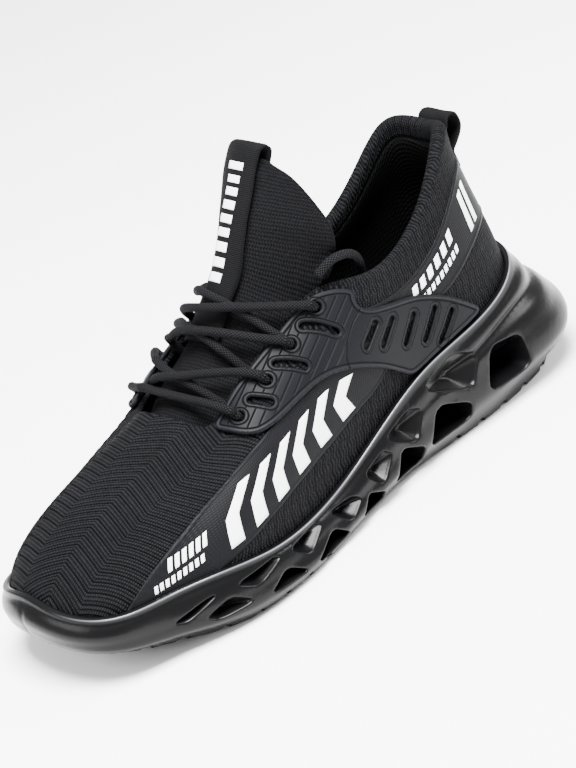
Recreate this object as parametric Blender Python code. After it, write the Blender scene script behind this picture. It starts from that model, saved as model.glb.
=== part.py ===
"""A knitted safety sneaker for the left foot, standing on its sole. Units are metres.

The frame: +X runs from the heel to the toe, +Y to the outer side of the foot, +Z up. The origin is on the
floor under the middle of the heel. Each piece is worked out from the sizes below and from tables of shares.
"""

import bpy
import bmesh
import numpy as np
from mathutils import geometry, Vector

MM = 0.001

# Driving sizes of the whole shoe
LENGTH = 306 * MM
BALL_WIDTH = 108 * MM
COLLAR_HEIGHT = 126 * MM
HEEL_CENTRE = 56 * MM
GAP = 0.3 * MM

# Upper
WALL = 2.4 * MM
COLLAR_PAD = 7.0 * MM
TOP_SHARE = 0.965
EYELET_RADIUS = 2.3 * MM

# Cage
CAGE_GAP = 1.1 * MM
CAGE_THICKNESS = 1.5 * MM
CAGE_RIM_GAP = 1.2 * MM
SLOT_WIDTH = 3.4 * MM
WING_SLOT_WIDTH = 3.0 * MM
CAGE_MESH = 6.6 * MM

# Sole
HEEL_SEAT = 28 * MM
BALL_SEAT = 14 * MM
TOE_SPRING = 12 * MM
ARCH_LIFT = 3.0 * MM
LIP_WIDTH = 3.4 * MM
BACK_RIM = 57 * MM
TREAD_CHAMFER = 2.6 * MM
OPENING_DEPTH = 24 * MM
OPENING_SHOULDER = 10 * MM
RECESS_DEPTH = 6.5 * MM
TREAD_GROOVE = 3.0 * MM
TREAD_GROOVE_WIDTH = 3.2 * MM
CHEVRON = 6 * MM

# Insole
INSOLE_THICKNESS = 4.0 * MM

# Tongue and tabs
TONGUE_THICKNESS = 4.5 * MM
TONGUE_TOP_THICKNESS = 2.0 * MM
TONGUE_TAB_WIDTH = 24.7 * MM
TAB_LOOP = 3.5 * MM
TAB_SLACK = 1.2 * MM
TAB_SHIFT = -3.0 * MM
HEEL_TAB_WIDTH = 18 * MM
WEBBING = 1.6 * MM

# Lace
LACE_RADIUS = 2.1 * MM
LACE_CLEARANCE = 0.4 * MM
LACE_FUSE = 1.2 * MM

SAMPLES_PER_ROW = 3

# Half of the shoe's outline, from the heel's back to the toe's tip. The columns are, in per cent: the place of
# the upper's bottom edge along the length, its outer and inner breadth (of the ball width); the place of the
# upper's top edge along the length and its breadth on the outer side, the same two on the inner side, its
# height (of the collar height); the handles of the wall's curve, of the collar height: how far the low one
# stands out and up, and the high one out and down; and the share of the collar's padding.
UPPER_ROWS = (
    (8.5, 0.0, 0.0, 9.8, 0.0, 9.8, 0.0, 96.8, 6.3, 27.0, -4.0, 20.6, 100),
    (10.1, 16.7, 15.7, 11.1, 12.0, 10.9, -13.5, 98.6, 5.6, 27.0, -3.2, 20.6, 100),
    (15.0, 26.4, 25.9, 15.0, 21.3, 14.7, -23.1, 96.2, 4.8, 25.4, -1.6, 20.6, 100),
    (23.5, 30.6, 29.6, 21.9, 25.9, 21.9, -26.4, 82.6, 4.0, 23.8, 1.6, 19.0, 100),
    (34.0, 31.5, 29.6, 29.7, 28.2, 30.4, -27.8, 73.0, 3.2, 22.2, 3.2, 15.9, 90),
    (43.8, 34.3, 30.6, 36.9, 28.7, 38.2, -29.2, 74.2, 2.4, 23.8, 4.8, 15.9, 45),
    (52.9, 38.0, 32.4, 43.1, 21.3, 45.4, -28.7, 77.0, 2.4, 23.8, 10.3, 12.7, 8),
    (62.1, 43.5, 37.0, 49.0, 16.7, 51.5, -26.9, 71.4, 1.6, 22.2, 13.5, 9.5, 0),
    (70.3, 47.2, 40.7, 55.6, 15.7, 57.5, -26.9, 65.1, 1.6, 19.8, 15.9, 7.1, 0),
    (77.8, 46.3, 42.6, 61.1, 15.7, 62.7, -27.3, 58.7, 2.4, 20.4, 12.7, 6.3, 0),
    (85.6, 39.8, 39.8, 65.0, 14.4, 66.5, -25.9, 53.2, 3.6, 21.4, 12.7, 6.3, 0),
    (92.4, 34.3, 31.0, 66.8, 6.5, 67.6, -17.6, 56.3, 7.9, 24.2, 15.9, 7.1, 0),
    (96.2, 19.4, 19.0, 67.3, -0.9, 67.6, -10.2, 57.6, 11.1, 25.4, 19.0, 7.1, 0),
    (97.4, -0.5, 0.5, 67.5, -5.6, 67.5, -5.6, 57.9, 12.3, 25.8, 20.2, 6.7, 0),
)

# The sole's side at the same places, in per cent: the rim's height and the groove's (of the back rim), and how
# far the groove, the shoulder, the flare and the tread's edge stand out of the upper's bottom edge (of the
# ball width).
SOLE_ROWS = (
    (100, 74, 12.0, 19.0, 23.6, 11.6),
    (97, 72, 11.1, 17.2, 21.3, 9.7),
    (87, 70, 8.3, 12.6, 15.0, 6.0),
    (79, 62, 7.4, 8.8, 10.0, 5.1),
    (72, 52, 7.4, 7.9, 8.8, 4.6),
    (56, 40, 6.9, 7.6, 8.8, 5.1),
    (40, 29, 6.5, 7.4, 8.8, 6.5),
    (35, 26, 5.6, 6.9, 8.8, 6.9),
    (39, 29, 5.6, 6.9, 8.3, 6.0),
    (46, 33, 5.6, 6.9, 7.6, 4.0),
    (49, 37, 5.6, 6.5, 6.5, 0.0),
    (53, 42, 6.0, 6.0, 5.1, -3.7),
    (60, 48, 6.0, 6.0, 4.2, -4.6),
    (67, 54, 5.6, 5.6, 3.7, -4.6),
)

# The sole's lower openings, in per cent of the length along the shoe and of the back rim in height: the two
# upper corners and the two lower ones, each from the heel on.
LOWER_OPENINGS = (
    (16.0, 53, 22.0, 58, 25.0, 26, 16.2, 25),
    (28.3, 29, 34.0, 43, 37.8, 16, 28.8, 16),
    (38.4, 22, 42.6, 33, 45.6, 10, 39.0, 10),
    (47.9, 14, 50.8, 22, 53.4, 8, 48.2, 8),
    (56.2, 8, 59.0, 20, 63.7, 10, 62.8, 7),
    (65.6, 10, 69.0, 22, 72.6, 15, 71.8, 13),
    (75.4, 18, 78.4, 29, 82.4, 23, 81.0, 18),
)

# The sole's upper recesses in the same columns.
UPPER_RECESSES = (
    (24.2, 60, 28.2, 71, 35.6, 60, 27.2, 37),
    (36.6, 49, 38.8, 55, 44.6, 46, 39.4, 29),
    (44.3, 35, 45.6, 41, 50.2, 34, 47.8, 20),
    (52.2, 23, 53.8, 29, 58.4, 30, 55.4, 15),
    (60.4, 28, 61.2, 31, 67.2, 30, 64.2, 18),
    (69.0, 31, 70.2, 34, 77.0, 34, 74.0, 25),
    (79.8, 35, 81.4, 35, 86.6, 30, 84.6, 27),
)

# Places of the grooves across the tread, in per cent of the length.
TREAD_GROOVES = (10.5, 15.5, 20.5, 25.5, 30.5, 62, 66.5, 71, 75.5, 80, 84.5, 88.5)

# The cage's outline in rows of the last and shares of the wall, from the front end of its top edge round by the
# heel. The wing's foot, where the share is 0, follows the sole's rim.
CAGE_OUTLINE = (
    (9.95, 0.93), (9.2, 0.75), (8.6, 0.645), (8.0, 0.59), (7.0, 0.565), (6.0, 0.53), (5.4, 0.49), (4.9, 0.42),
    (4.5, 0.32), (4.25, 0.24), (4.05, 0.0), (3.6, 0.0), (3.1, 0.0), (2.62, 0.0), (2.9, 0.33), (3.3, 0.49),
    (3.75, 0.63), (4.15, 0.715), (4.65, 0.76), (5.15, 0.775), (5.33, 0.83), (5.28, 0.93), (6.2, 0.945),
    (7.0, 0.945), (8.0, 0.945), (9.0, 0.94),
)

# The eyelets' middles, from the top row to the toe, in rows of the last and shares of the wall.
EYELETS = ((6.15, 0.875), (7.05, 0.825), (7.9, 0.80), (8.85, 0.775))

# Both ends of each slot between the eyelets and of each slot in the wing, in the same two columns.
EYESTAY_SLOTS = (
    (6.6, 0.84, 5.82, 0.71),
    (7.55, 0.82, 6.78, 0.67),
    (8.42, 0.79, 7.9, 0.69),
)
WING_SLOTS = (
    (4.98, 0.68, 5.2, 0.575),
    (4.6, 0.655, 4.83, 0.535),
    (4.07, 0.575, 4.3, 0.45),
    (3.58, 0.485, 3.86, 0.365),
    (3.25, 0.375, 3.56, 0.275),
)

# The tongue from its hidden foot to its top, in per cent of the length, the ball width and the collar height:
# its middle, its outer edge and its inner edge.
TONGUE_ROWS = (
    (69.0, -5.6, 50.0, 66.7, 11.1, 44.4, 68.0, -22.2, 45.2),
    (65.0, -5.6, 56.0, 62.1, 18.0, 49.0, 64.4, -28.7, 49.0),
    (61.1, -6.0, 62.3, 57.5, 19.4, 54.5, 60.5, -30.1, 55.0),
    (56.5, -5.6, 72.2, 52.3, 20.4, 59.5, 55.2, -30.1, 60.3),
    (53.8, -4.6, 81.3, 48.0, 19.0, 64.0, 50.3, -27.2, 65.0),
    (51.1, -3.7, 89.7, 43.2, 18.6, 70.0, 45.0, -25.5, 71.0),
    (48.9, -2.8, 98.4, 39.4, 22.6, 81.7, 40.2, -25.6, 82.5),
    (46.9, -1.9, 106.0, 38.7, 25.2, 92.9, 39.4, -27.8, 93.7),
    (44.9, -0.9, 113.5, 39.5, 22.6, 104.0, 40.0, -25.9, 104.8),
    (43.3, -0.5, 119.8, 40.7, 17.2, 114.7, 41.0, -19.9, 115.1),
    (42.6, 0.0, 122.6, 41.8, 9.3, 121.0, 42.0, -9.7, 121.0),
)

# Where the tongue's sections stand, in rows of its table.
TONGUE_STATIONS = np.linspace(0, len(TONGUE_ROWS) - 1, 19)

# Lace strands from the inner side to the outer one: the eyelet's row on the last, or 0 where the strand goes
# under the eyestay, then the tongue's row at five places across it, then the eyelet's row or 0 again.
LACE_STRANDS = {
    "lace_bar": ((8.85, 1.35, 1.2, 1.15, 1.2, 1.28, 8.85),),
    "lace_cross_front": ((7.9, 2.1, 1.9, 1.78, 1.6, 1.42, 0), (0, 1.5, 1.5, 1.68, 2.0, 2.3, 7.9)),
    "lace_cross_middle": ((7.05, 3.3, 3.15, 3.0, 2.75, 2.5, 0), (0, 2.7, 2.8, 2.98, 3.18, 3.48, 7.05)),
    "lace_cross_top": ((6.15, 4.5, 4.3, 4.2, 4.05, 3.7, 0), (0, 3.6, 3.6, 3.75, 4.05, 4.6, 6.15)),
}
LACE_ACROSS = (-0.76, -0.4, 0, 0.4, 0.76)
LACE_LEAN = 0.55

# The free end of the lace: it comes out above the top eyelet and drops between tongue and collar.
LACE_END = (
    (74.4, 26.4, 102.8), (68.4, 28.0, 105.6), (61.9, 28.4, 105.4), (55.8, 27.0, 102.3), (51.8, 24.6, 97.0),
    (50.4, 22.2, 90.0), (50.6, 21.0, 81.0), (52.0, 20.4, 70.0),
)

COLOURS = {
    "knit": ((0.035, 0.036, 0.04), 0.85),
    "rubber": ((0.05, 0.05, 0.055), 0.45),
    "cage": ((0.06, 0.06, 0.066), 0.5),
    "foam": ((0.04, 0.04, 0.045), 0.9),
    "webbing": ((0.03, 0.03, 0.034), 0.8),
    "braid": ((0.05, 0.05, 0.055), 0.8),
}


def clear_scene():
    """Remove every object, and add the collections for the shoe and for its cutters."""
    for item in list(bpy.data.objects):
        bpy.data.objects.remove(item, do_unlink=True)
    collections = {}
    for name in ("safety_sneaker", "cutters"):
        collections[name] = bpy.data.collections.new(name)
        bpy.context.scene.collection.children.link(collections[name])
    return collections


def material(name):
    """A Principled material with a piece's colour and roughness."""
    if name in bpy.data.materials:
        return bpy.data.materials[name]
    made = bpy.data.materials.new(name)
    made.use_nodes = True
    shader = made.node_tree.nodes["Principled BSDF"]
    colour, rough = COLOURS[name]
    shader.inputs["Base Color"].default_value = (*colour, 1)
    shader.inputs["Roughness"].default_value = rough
    shader.inputs["Metallic"].default_value = 0.0
    return made


def add_solid(name, points, faces, look, collection="safety_sneaker"):
    """A mesh object from points and faces, with its faces turned outward."""
    mesh = bpy.data.meshes.new(name)
    mesh.from_pydata([tuple(p) for p in points], [], faces)
    made = bmesh.new()
    made.from_mesh(mesh)
    bmesh.ops.recalc_face_normals(made, faces=made.faces)
    made.to_mesh(mesh)
    made.free()
    mesh.update()
    item = bpy.data.objects.new(name, mesh)
    if look:
        mesh.materials.append(material(look))
    bpy.data.collections[collection].objects.link(item)
    if collection == "cutters":
        item.hide_render = True
        item.display_type = "WIRE"
    return item


def boolean(item, other, operation="DIFFERENCE"):
    """Cut one object with another, or fuse them."""
    step = item.modifiers.new(other.name, "BOOLEAN")
    step.operation = operation
    step.solver = "EXACT"
    step.object = other


def ring_faces(rings, size, closed_rings=True, closed_loop=True):
    """Quads between rings of points, each ring with size points."""
    faces = []
    for a in range(rings if closed_rings else rings - 1):
        b = (a + 1) % rings
        for i in range(size if closed_loop else size - 1):
            j = (i + 1) % size
            faces.append((a * size + i, b * size + i, b * size + j, a * size + j))
    return faces


def ladder_faces(ring):
    """Faces across a closed ring of point numbers that starts at the heel: rungs from side to side."""
    count = len(ring)
    faces = [(ring[0], ring[1], ring[-1])]
    for i in range(1, count // 2 - 1):
        faces.append((ring[i], ring[i + 1], ring[count - i - 1], ring[count - i]))
    middle = count // 2
    faces.append((ring[middle - 1], ring[middle], ring[middle + 1]))
    return faces


def unit(vectors):
    """Vectors of length one."""
    return vectors / np.linalg.norm(vectors, axis=-1, keepdims=True)


def smooth_step(value):
    """Rises smoothly from 0 to 1."""
    value = np.clip(value, 0, 1)
    return value * value * (3 - 2 * value)


def periodic_spline(rows, places):
    """A smooth closed curve through the rows, read at the places: a periodic cubic in each column."""
    rows = np.asarray(rows, float)
    count = len(rows)
    matrix = 4 * np.eye(count) + np.roll(np.eye(count), 1, 0) + np.roll(np.eye(count), -1, 0)
    after, before = np.roll(rows, -1, 0), np.roll(rows, 1, 0)
    slope = np.linalg.solve(matrix, 3 * (after - before))
    places = np.mod(np.asarray(places, float), count)
    row = np.minimum(places.astype(int), count - 1)
    t = (places - row)[..., None]
    p0, p1, m0, m1 = rows[row], after[row], slope[row], np.roll(slope, -1, 0)[row]
    return p0 + t * m0 + t**2 * (3 * (p1 - p0) - 2 * m0 - m1) + t**3 * (2 * (p0 - p1) + m0 + m1)


def open_spline(rows, places):
    """A smooth open curve through the rows, read at the places: each column is a cubic through four rows."""
    rows = np.asarray(rows, float)
    ends = np.vstack([2 * rows[:1] - rows[1:2], rows, 2 * rows[-1:] - rows[-2:-1]])
    places = np.clip(np.asarray(places, float), 0, len(rows) - 1)
    row = np.minimum(places.astype(int), len(rows) - 2)
    t = (places - row)[..., None]
    a, b, c, d = (ends[row + k] for k in range(4))
    return b + 0.5 * t * (c - a + t * (2 * a - 5 * b + 4 * c - d + t * (3 * (b - c) + d - a)))


def last_ring():
    """The closed ring of the upper's rows: bottom edge, top edge, handles and padding, in metres."""
    rows = np.array(UPPER_ROWS) / 100
    outer = rows[:, [0, 1, 3, 4, 7, 8, 9, 10, 11, 12]]
    inner = rows[-2:0:-1][:, [0, 2, 5, 6, 7, 8, 9, 10, 11, 12]]
    inner[:, 1] *= -1
    ring = np.vstack([outer, inner])
    sizes = [LENGTH, BALL_WIDTH, LENGTH, BALL_WIDTH] + [COLLAR_HEIGHT] * 5 + [1]
    ring = ring * sizes
    ring[:, [0, 2]] -= HEEL_CENTRE
    return ring


RING = last_ring()
RING_ROWS = len(RING)


def seat_height(x):
    """Height of the footbed: high under the heel, low under the ball, rising a little at the toe."""
    return np.interp(
        (x + HEEL_CENTRE) / LENGTH,
        (0.0, 0.16, 0.3, 0.45, 0.6, 0.72, 0.85, 0.97),
        (1.04 * HEEL_SEAT, HEEL_SEAT, 0.9 * HEEL_SEAT, 0.72 * HEEL_SEAT, BALL_SEAT + 2 * MM, BALL_SEAT,
         BALL_SEAT + 0.17 * TOE_SPRING, BALL_SEAT + 0.5 * TOE_SPRING),
    )


def floor_height(x):
    """Height of the tread: on the floor at heel and ball, raised at the heel's back, the arch and the toe."""
    return np.interp(
        (x + HEEL_CENTRE) / LENGTH,
        (0.0, 0.03, 0.065, 0.31, 0.42, 0.55, 0.65, 0.76, 0.82, 0.88, 0.94, 1.0),
        (0.5 * TOE_SPRING, 0.2 * TOE_SPRING, 0, 0, ARCH_LIFT, 0.5 * ARCH_LIFT, 0, 0, 0.12 * TOE_SPRING,
         0.4 * TOE_SPRING, 0.75 * TOE_SPRING, TOE_SPRING),
    )


def ring_outward(places, column):
    """Outward direction in plan of the ring's bottom edge (column 0) or top edge (column 2)."""
    step = 0.05
    ahead, back = periodic_spline(RING, places + step), periodic_spline(RING, places - step)
    along = (ahead - back)[..., column:column + 2]
    return unit(np.stack([-along[..., 1], along[..., 0], np.zeros(along.shape[:-1])], -1))


def last_point(places, shares):
    """Points of the upper's outer form at rows of the last and shares of the wall, 0 at the bottom edge."""
    places, shares = np.broadcast_arrays(np.asarray(places, float), np.asarray(shares, float))
    at = periodic_spline(RING, places)
    up = np.array([0, 0, 1])
    low = np.stack([at[..., 0], at[..., 1], seat_height(at[..., 0]) + GAP], -1)
    high = at[..., 2:5]
    low_handle = low + ring_outward(places, 0) * at[..., 5:6] + up * at[..., 6:7]
    high_handle = high + ring_outward(places, 2) * at[..., 7:8] - up * at[..., 8:9]
    v = shares[..., None]
    return (1 - v)**3 * low + 3 * v * (1 - v)**2 * low_handle + 3 * v**2 * (1 - v) * high_handle + v**3 * high


def last_slopes(places, shares):
    """How the form's points move for one row and for one whole share."""
    places, shares = np.broadcast_arrays(np.asarray(places, float), np.asarray(shares, float))
    step = 0.02
    along = (last_point(places + step, shares) - last_point(places - step, shares)) / (2 * step)
    up = (last_point(places, shares + step) - last_point(places, shares - step)) / (2 * step)
    return along, up


def last_normal(places, shares):
    """Outward unit normals of the form."""
    along, up = last_slopes(places, shares)
    return unit(np.cross(up, along))


def wall_thickness(places, shares):
    """The upper's wall: thin, and padded towards the collar's edge."""
    pad = periodic_spline(RING, places)[..., 9]
    return WALL + (COLLAR_PAD - WALL) * np.clip(pad, 0, 1) * smooth_step((shares - 0.55) / 0.33)


def last_inner(places, shares):
    """Points of the upper's inner face."""
    places, shares = np.broadcast_arrays(np.asarray(places, float), np.asarray(shares, float))
    depth = wall_thickness(places, shares)[..., None]
    return last_point(places, shares) - depth * last_normal(places, shares)


def upper_loops(places, outer_shares, inner_shares, rim_angles):
    """The upper's closed section at each place: up the outer face, over the rounded edge and down inside."""
    place = places[:, None]
    outer = last_point(place, outer_shares)
    inner = last_inner(place, inner_shares)
    near, far = outer[:, -1], inner[:, 0]
    middle, half = (near + far) / 2, (near - far) / 2
    rise = unit(last_slopes(places, np.full(len(places), outer_shares[-1]))[1])
    size = np.linalg.norm(half, axis=1, keepdims=True)
    rim = [middle + np.cos(a) * half + np.sin(a) * size * rise for a in rim_angles]
    return np.concatenate([outer, np.stack(rim, 1), inner], 1)


def add_upper():
    """The knitted upper: one hollow wall, open at the collar, the throat and underneath."""
    places = np.arange(RING_ROWS * SAMPLES_PER_ROW) / SAMPLES_PER_ROW
    outer = np.array([0, 0.12, 0.26, 0.43, 0.6, 0.76, 0.88, TOP_SHARE])
    inner = np.array([TOP_SHARE, 0.84, 0.66, 0.42, 0.2, 0])
    loops = upper_loops(places, outer, inner, np.radians((50, 130)))
    faces = ring_faces(len(places), loops.shape[1])
    upper = add_solid("upper", loops.reshape(-1, 3), faces, "knit")
    boolean(upper, add_eyelet_cutters())
    return upper


def add_eyelet_cutters():
    """Round pins through the eyelets of both sides, in one mesh."""
    made = bmesh.new()
    for side in (1, -1):
        for row, share in EYELETS:
            place = row * side
            spot = last_point(place, share)
            direction = Vector(last_normal(place, share))
            turn = direction.to_track_quat("Z", "Y").to_matrix().to_4x4()
            turn.translation = Vector(spot)
            bmesh.ops.create_cone(made, cap_ends=True, segments=8, radius1=EYELET_RADIUS, radius2=EYELET_RADIUS,
                                  depth=4 * WALL, matrix=turn)
    mesh = bpy.data.meshes.new("eyelet_pins")
    made.to_mesh(mesh)
    made.free()
    pins = bpy.data.objects.new("eyelet_pins", mesh)
    pins.hide_render = True
    pins.display_type = "WIRE"
    bpy.data.collections["cutters"].objects.link(pins)
    return pins


def sole_side(places):
    """The sole's values at the places: rim and groove heights, then the four reaches, in metres."""
    rows = np.array(SOLE_ROWS) / 100
    rows = np.vstack([rows, rows[-2:0:-1]])
    return periodic_spline(rows, places) * ([BACK_RIM] * 2 + [BALL_WIDTH] * 4)


def share_at_height(places, heights):
    """The share of the wall at which the outer form reaches a height, at each place."""
    shares = np.linspace(0, 0.7, 71)
    walls = last_point(np.asarray(places)[:, None], shares)[..., 2]
    return np.array([np.interp(h, wall, shares) for h, wall in zip(heights, walls)])


def sole_loops(places):
    """The sole's section at each place: from the footbed up its inner wall, over the rim and down its side."""
    side = sole_side(places)
    foot = last_point(places, np.zeros(len(places)))
    outward = ring_outward(places, 0)
    seat = seat_height(foot[:, 0])
    rim, groove = side[:, 0], side[:, 1]
    points = []
    for part, bow in ((0.0, 0), (0.5, 0.5 * MM), (1.0, 0.2 * MM)):
        height = seat + part * (rim - seat)
        wall = last_point(places, share_at_height(places, height))
        inner = wall + (GAP + bow) * outward
        inner[:, 2] = height
        points.append(inner)
    lip = points[-1] + LIP_WIDTH * outward
    lip[:, 2] = rim - 0.8 * MM
    points.append(lip)
    for column, part in ((2, 1.0), (3, 0.74), (4, 0.42), (5, 0.12)):
        spot = foot + side[:, column:column + 1] * outward
        low = floor_height(spot[:, 0])
        spot[:, 2] = low + part * (groove - low)
        points.append(spot)
    tread = foot + (side[:, 5:6] - TREAD_CHAMFER) * outward
    tread[:, 2] = floor_height(tread[:, 0])
    points.append(tread)
    return np.stack(points, 1)


def rounded(corners, share=0.22):
    """A closed outline with each corner replaced by two points that cut it off."""
    corners = np.asarray(corners, float)
    before, after = np.roll(corners, 1, 0), np.roll(corners, -1, 0)
    near = corners + share * (before - corners)
    far = corners + share * (after - corners)
    return np.stack([near, far], 1).reshape(-1, 2)


def side_line(x, side):
    """Where the sole's side stands at a place along the shoe, and its outward direction in plan."""
    places = np.linspace(0.3, len(UPPER_ROWS) - 1.2, 200) * side
    values = sole_side(places)
    outward = ring_outward(places, 0)
    line = last_point(places, np.zeros(len(places))) + outward * values[:, 3:4]
    y = np.interp(x, line[:, 0], line[:, 1])
    direction = np.stack([np.interp(x, line[:, 0], outward[:, k]) for k in range(3)], -1)
    return y, unit(direction)


def opening_rings(row, side, stages):
    """Rings of a cutter into the sole's side: each stage has its depth, its size, and 1 to stay under the seat."""
    corners = np.array(row).reshape(4, 2) / 100 * (LENGTH, BACK_RIM) - (HEEL_CENTRE, 0)
    outline = rounded(corners)
    middle = outline.mean(0)
    sill, crown = outline[:, 1].min(), outline[:, 1].max()
    rings = []
    direction = side_line(middle[0], side)[1]
    for depth, size, under in stages:
        spots = middle + size * (outline - middle)
        height = spots[:, 1]
        limit = seat_height(middle[0]) - 3 * MM
        if under and crown > limit:
            height = sill + (height - sill) * (limit - sill) / (crown - sill)
        sides = side_line(spots[:, 0], side)[0]
        points = np.stack([spots[:, 0], sides, height], 1) - depth * direction
        rings.append(points)
    return rings


def add_cutter(made, rings):
    """Add a closed prism through the rings to a bmesh."""
    loops = [[made.verts.new(p) for p in ring] for ring in rings]
    for low, high in zip(loops, loops[1:]):
        for i in range(len(low)):
            j = (i + 1) % len(low)
            made.faces.new((low[i], low[j], high[j], high[i]))
    made.faces.new(loops[0][::-1])
    made.faces.new(loops[-1])


def add_sole_cutters():
    """All of the sole's side openings and recesses, in one mesh, and the grooves of its tread in another."""
    made = bmesh.new()
    deep = ((-8 * MM, 1.0, 0), (2 * MM, 1.0, 0), (OPENING_SHOULDER, 0.9, 1), (OPENING_DEPTH, 0.78, 1))
    pocket = ((-8 * MM, 1.0, 0), (0.5 * MM, 1.0, 0), (RECESS_DEPTH, 0.45, 0))
    for side in (1, -1):
        for row in LOWER_OPENINGS[:6]:
            add_cutter(made, opening_rings(row, side, deep))
        for row in LOWER_OPENINGS[6:] + UPPER_RECESSES:
            add_cutter(made, opening_rings(row, side, pocket))
    bmesh.ops.recalc_face_normals(made, faces=made.faces)
    openings = finish_cutter(made, "sole_openings")
    made = bmesh.new()
    for share in TREAD_GROOVES:
        x = share / 100 * LENGTH - HEEL_CENTRE
        add_groove(made, x, floor_height(x) + TREAD_GROOVE)
    bmesh.ops.recalc_face_normals(made, faces=made.faces)
    grooves = finish_cutter(made, "tread_grooves")
    return openings, grooves


def add_groove(made, x, top):
    """Add a zigzag cutter across the whole tread to a bmesh."""
    steps = np.arange(-3.5, 4) / 3.5
    rings = []
    for number, step in enumerate(steps):
        bend = x + CHEVRON * (number % 2 - 0.5)
        rings.append([(bend + dx, step * 0.75 * BALL_WIDTH, z)
                      for dx, z in ((-TREAD_GROOVE_WIDTH / 2, top - 20 * MM), (TREAD_GROOVE_WIDTH / 2, top - 20 * MM),
                                    (TREAD_GROOVE_WIDTH / 2, top), (-TREAD_GROOVE_WIDTH / 2, top))])
    add_cutter(made, rings)


def finish_cutter(made, name):
    """Turn a bmesh into a hidden cutter object."""
    mesh = bpy.data.meshes.new(name)
    made.to_mesh(mesh)
    made.free()
    item = bpy.data.objects.new(name, mesh)
    item.hide_render = True
    item.display_type = "WIRE"
    bpy.data.collections["cutters"].objects.link(item)
    return item


def add_sole():
    """The one-piece rubber sole: footbed cup, rim, ribbed side with its openings, and grooved tread."""
    places = np.arange(RING_ROWS * SAMPLES_PER_ROW) / SAMPLES_PER_ROW
    loops = sole_loops(places)
    size = loops.shape[1]
    faces = ring_faces(len(places), size, closed_loop=False)
    starts = [i * size for i in range(len(places))]
    faces += ladder_faces(starts)
    faces += ladder_faces([s + size - 1 for s in starts])
    sole = add_solid("sole", loops.reshape(-1, 3), faces, "rubber")
    openings, grooves = add_sole_cutters()
    boolean(sole, grooves)
    boolean(sole, openings)
    return sole


def add_insole():
    """The foam insole, inside the upper and on the footbed."""
    places = np.arange(RING_ROWS * 2) / 2
    outward = ring_outward(places, 0)
    rings = []
    for rise, inset in ((GAP, 0.8 * MM), (GAP + INSOLE_THICKNESS, 0.5 * MM)):
        foot = last_point(places, np.zeros(len(places)))
        ring = foot - (WALL + GAP + inset) * outward
        ring[:, 2] = seat_height(ring[:, 0]) + rise
        rings.append(ring)
    points = np.stack(rings, 1)
    faces = ring_faces(len(places), 2, closed_loop=False)
    faces += ladder_faces([2 * i for i in range(len(places))])
    faces += ladder_faces([2 * i + 1 for i in range(len(places))])
    return add_solid("insole", points.reshape(-1, 3), faces, "foam")


def in_outline(points, outline):
    """Which points lie inside a closed outline."""
    inside = np.zeros(len(points), bool)
    before = np.roll(outline, 1, 0)
    for (x0, y0), (x1, y1) in zip(before, outline):
        crosses = (y0 > points[:, 1]) != (y1 > points[:, 1])
        edge = x0 + (points[:, 1] - y0) / (y1 - y0 + 1e-12) * (x1 - x0)
        inside ^= crosses & (points[:, 0] < edge)
    return inside


def flat_metric(place, share):
    """The matrix that turns a row and share into millimetre-true plane lengths near one spot."""
    along, up = last_slopes(place, share)
    across = unit(along)
    second = unit(up - (up @ across) * across)
    return np.array([[along @ across, up @ across], [along @ second, up @ second]])


def capsule(row, share, end_row, end_share, width, points=3):
    """A slot's outline with round ends, of a true width on the form."""
    metric = flat_metric((row + end_row) / 2, (share + end_share) / 2)
    start, end = metric @ (row, share), metric @ (end_row, end_share)
    way = np.arctan2(*(end - start)[::-1])
    turns = np.linspace(-0.5, 0.5, points) * np.pi
    caps = []
    for middle, turn in ((end, way), (start, way + np.pi)):
        caps.append(middle + width / 2 * np.stack([np.cos(turns + turn), np.sin(turns + turn)], 1))
    return np.vstack(caps) @ np.linalg.inv(metric).T


def circle(row, share, radius, points=8):
    """A round hole's outline on the form."""
    turns = np.arange(points) / points * 2 * np.pi
    spots = radius * np.stack([np.cos(turns), np.sin(turns)], 1)
    return (row, share) + spots @ np.linalg.inv(flat_metric(row, share)).T


def cage_outline():
    """The cage's smooth outline, with its wing's foot just above the sole's rim."""
    corners = np.array(CAGE_OUTLINE)
    foot = corners[:, 1] == 0
    height = sole_side(corners[foot, 0])[:, 0] + CAGE_RIM_GAP
    corners[foot, 1] = share_at_height(corners[foot, 0], height)
    return rounded(corners, 0.22)


def cage_holes():
    """The outlines of the cage's slots and eyelets."""
    holes = [capsule(*slot, SLOT_WIDTH) for slot in EYESTAY_SLOTS]
    holes += [capsule(*slot, WING_SLOT_WIDTH) for slot in WING_SLOTS]
    return holes + [circle(row, share, EYELET_RADIUS) for row, share in EYELETS]


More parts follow.
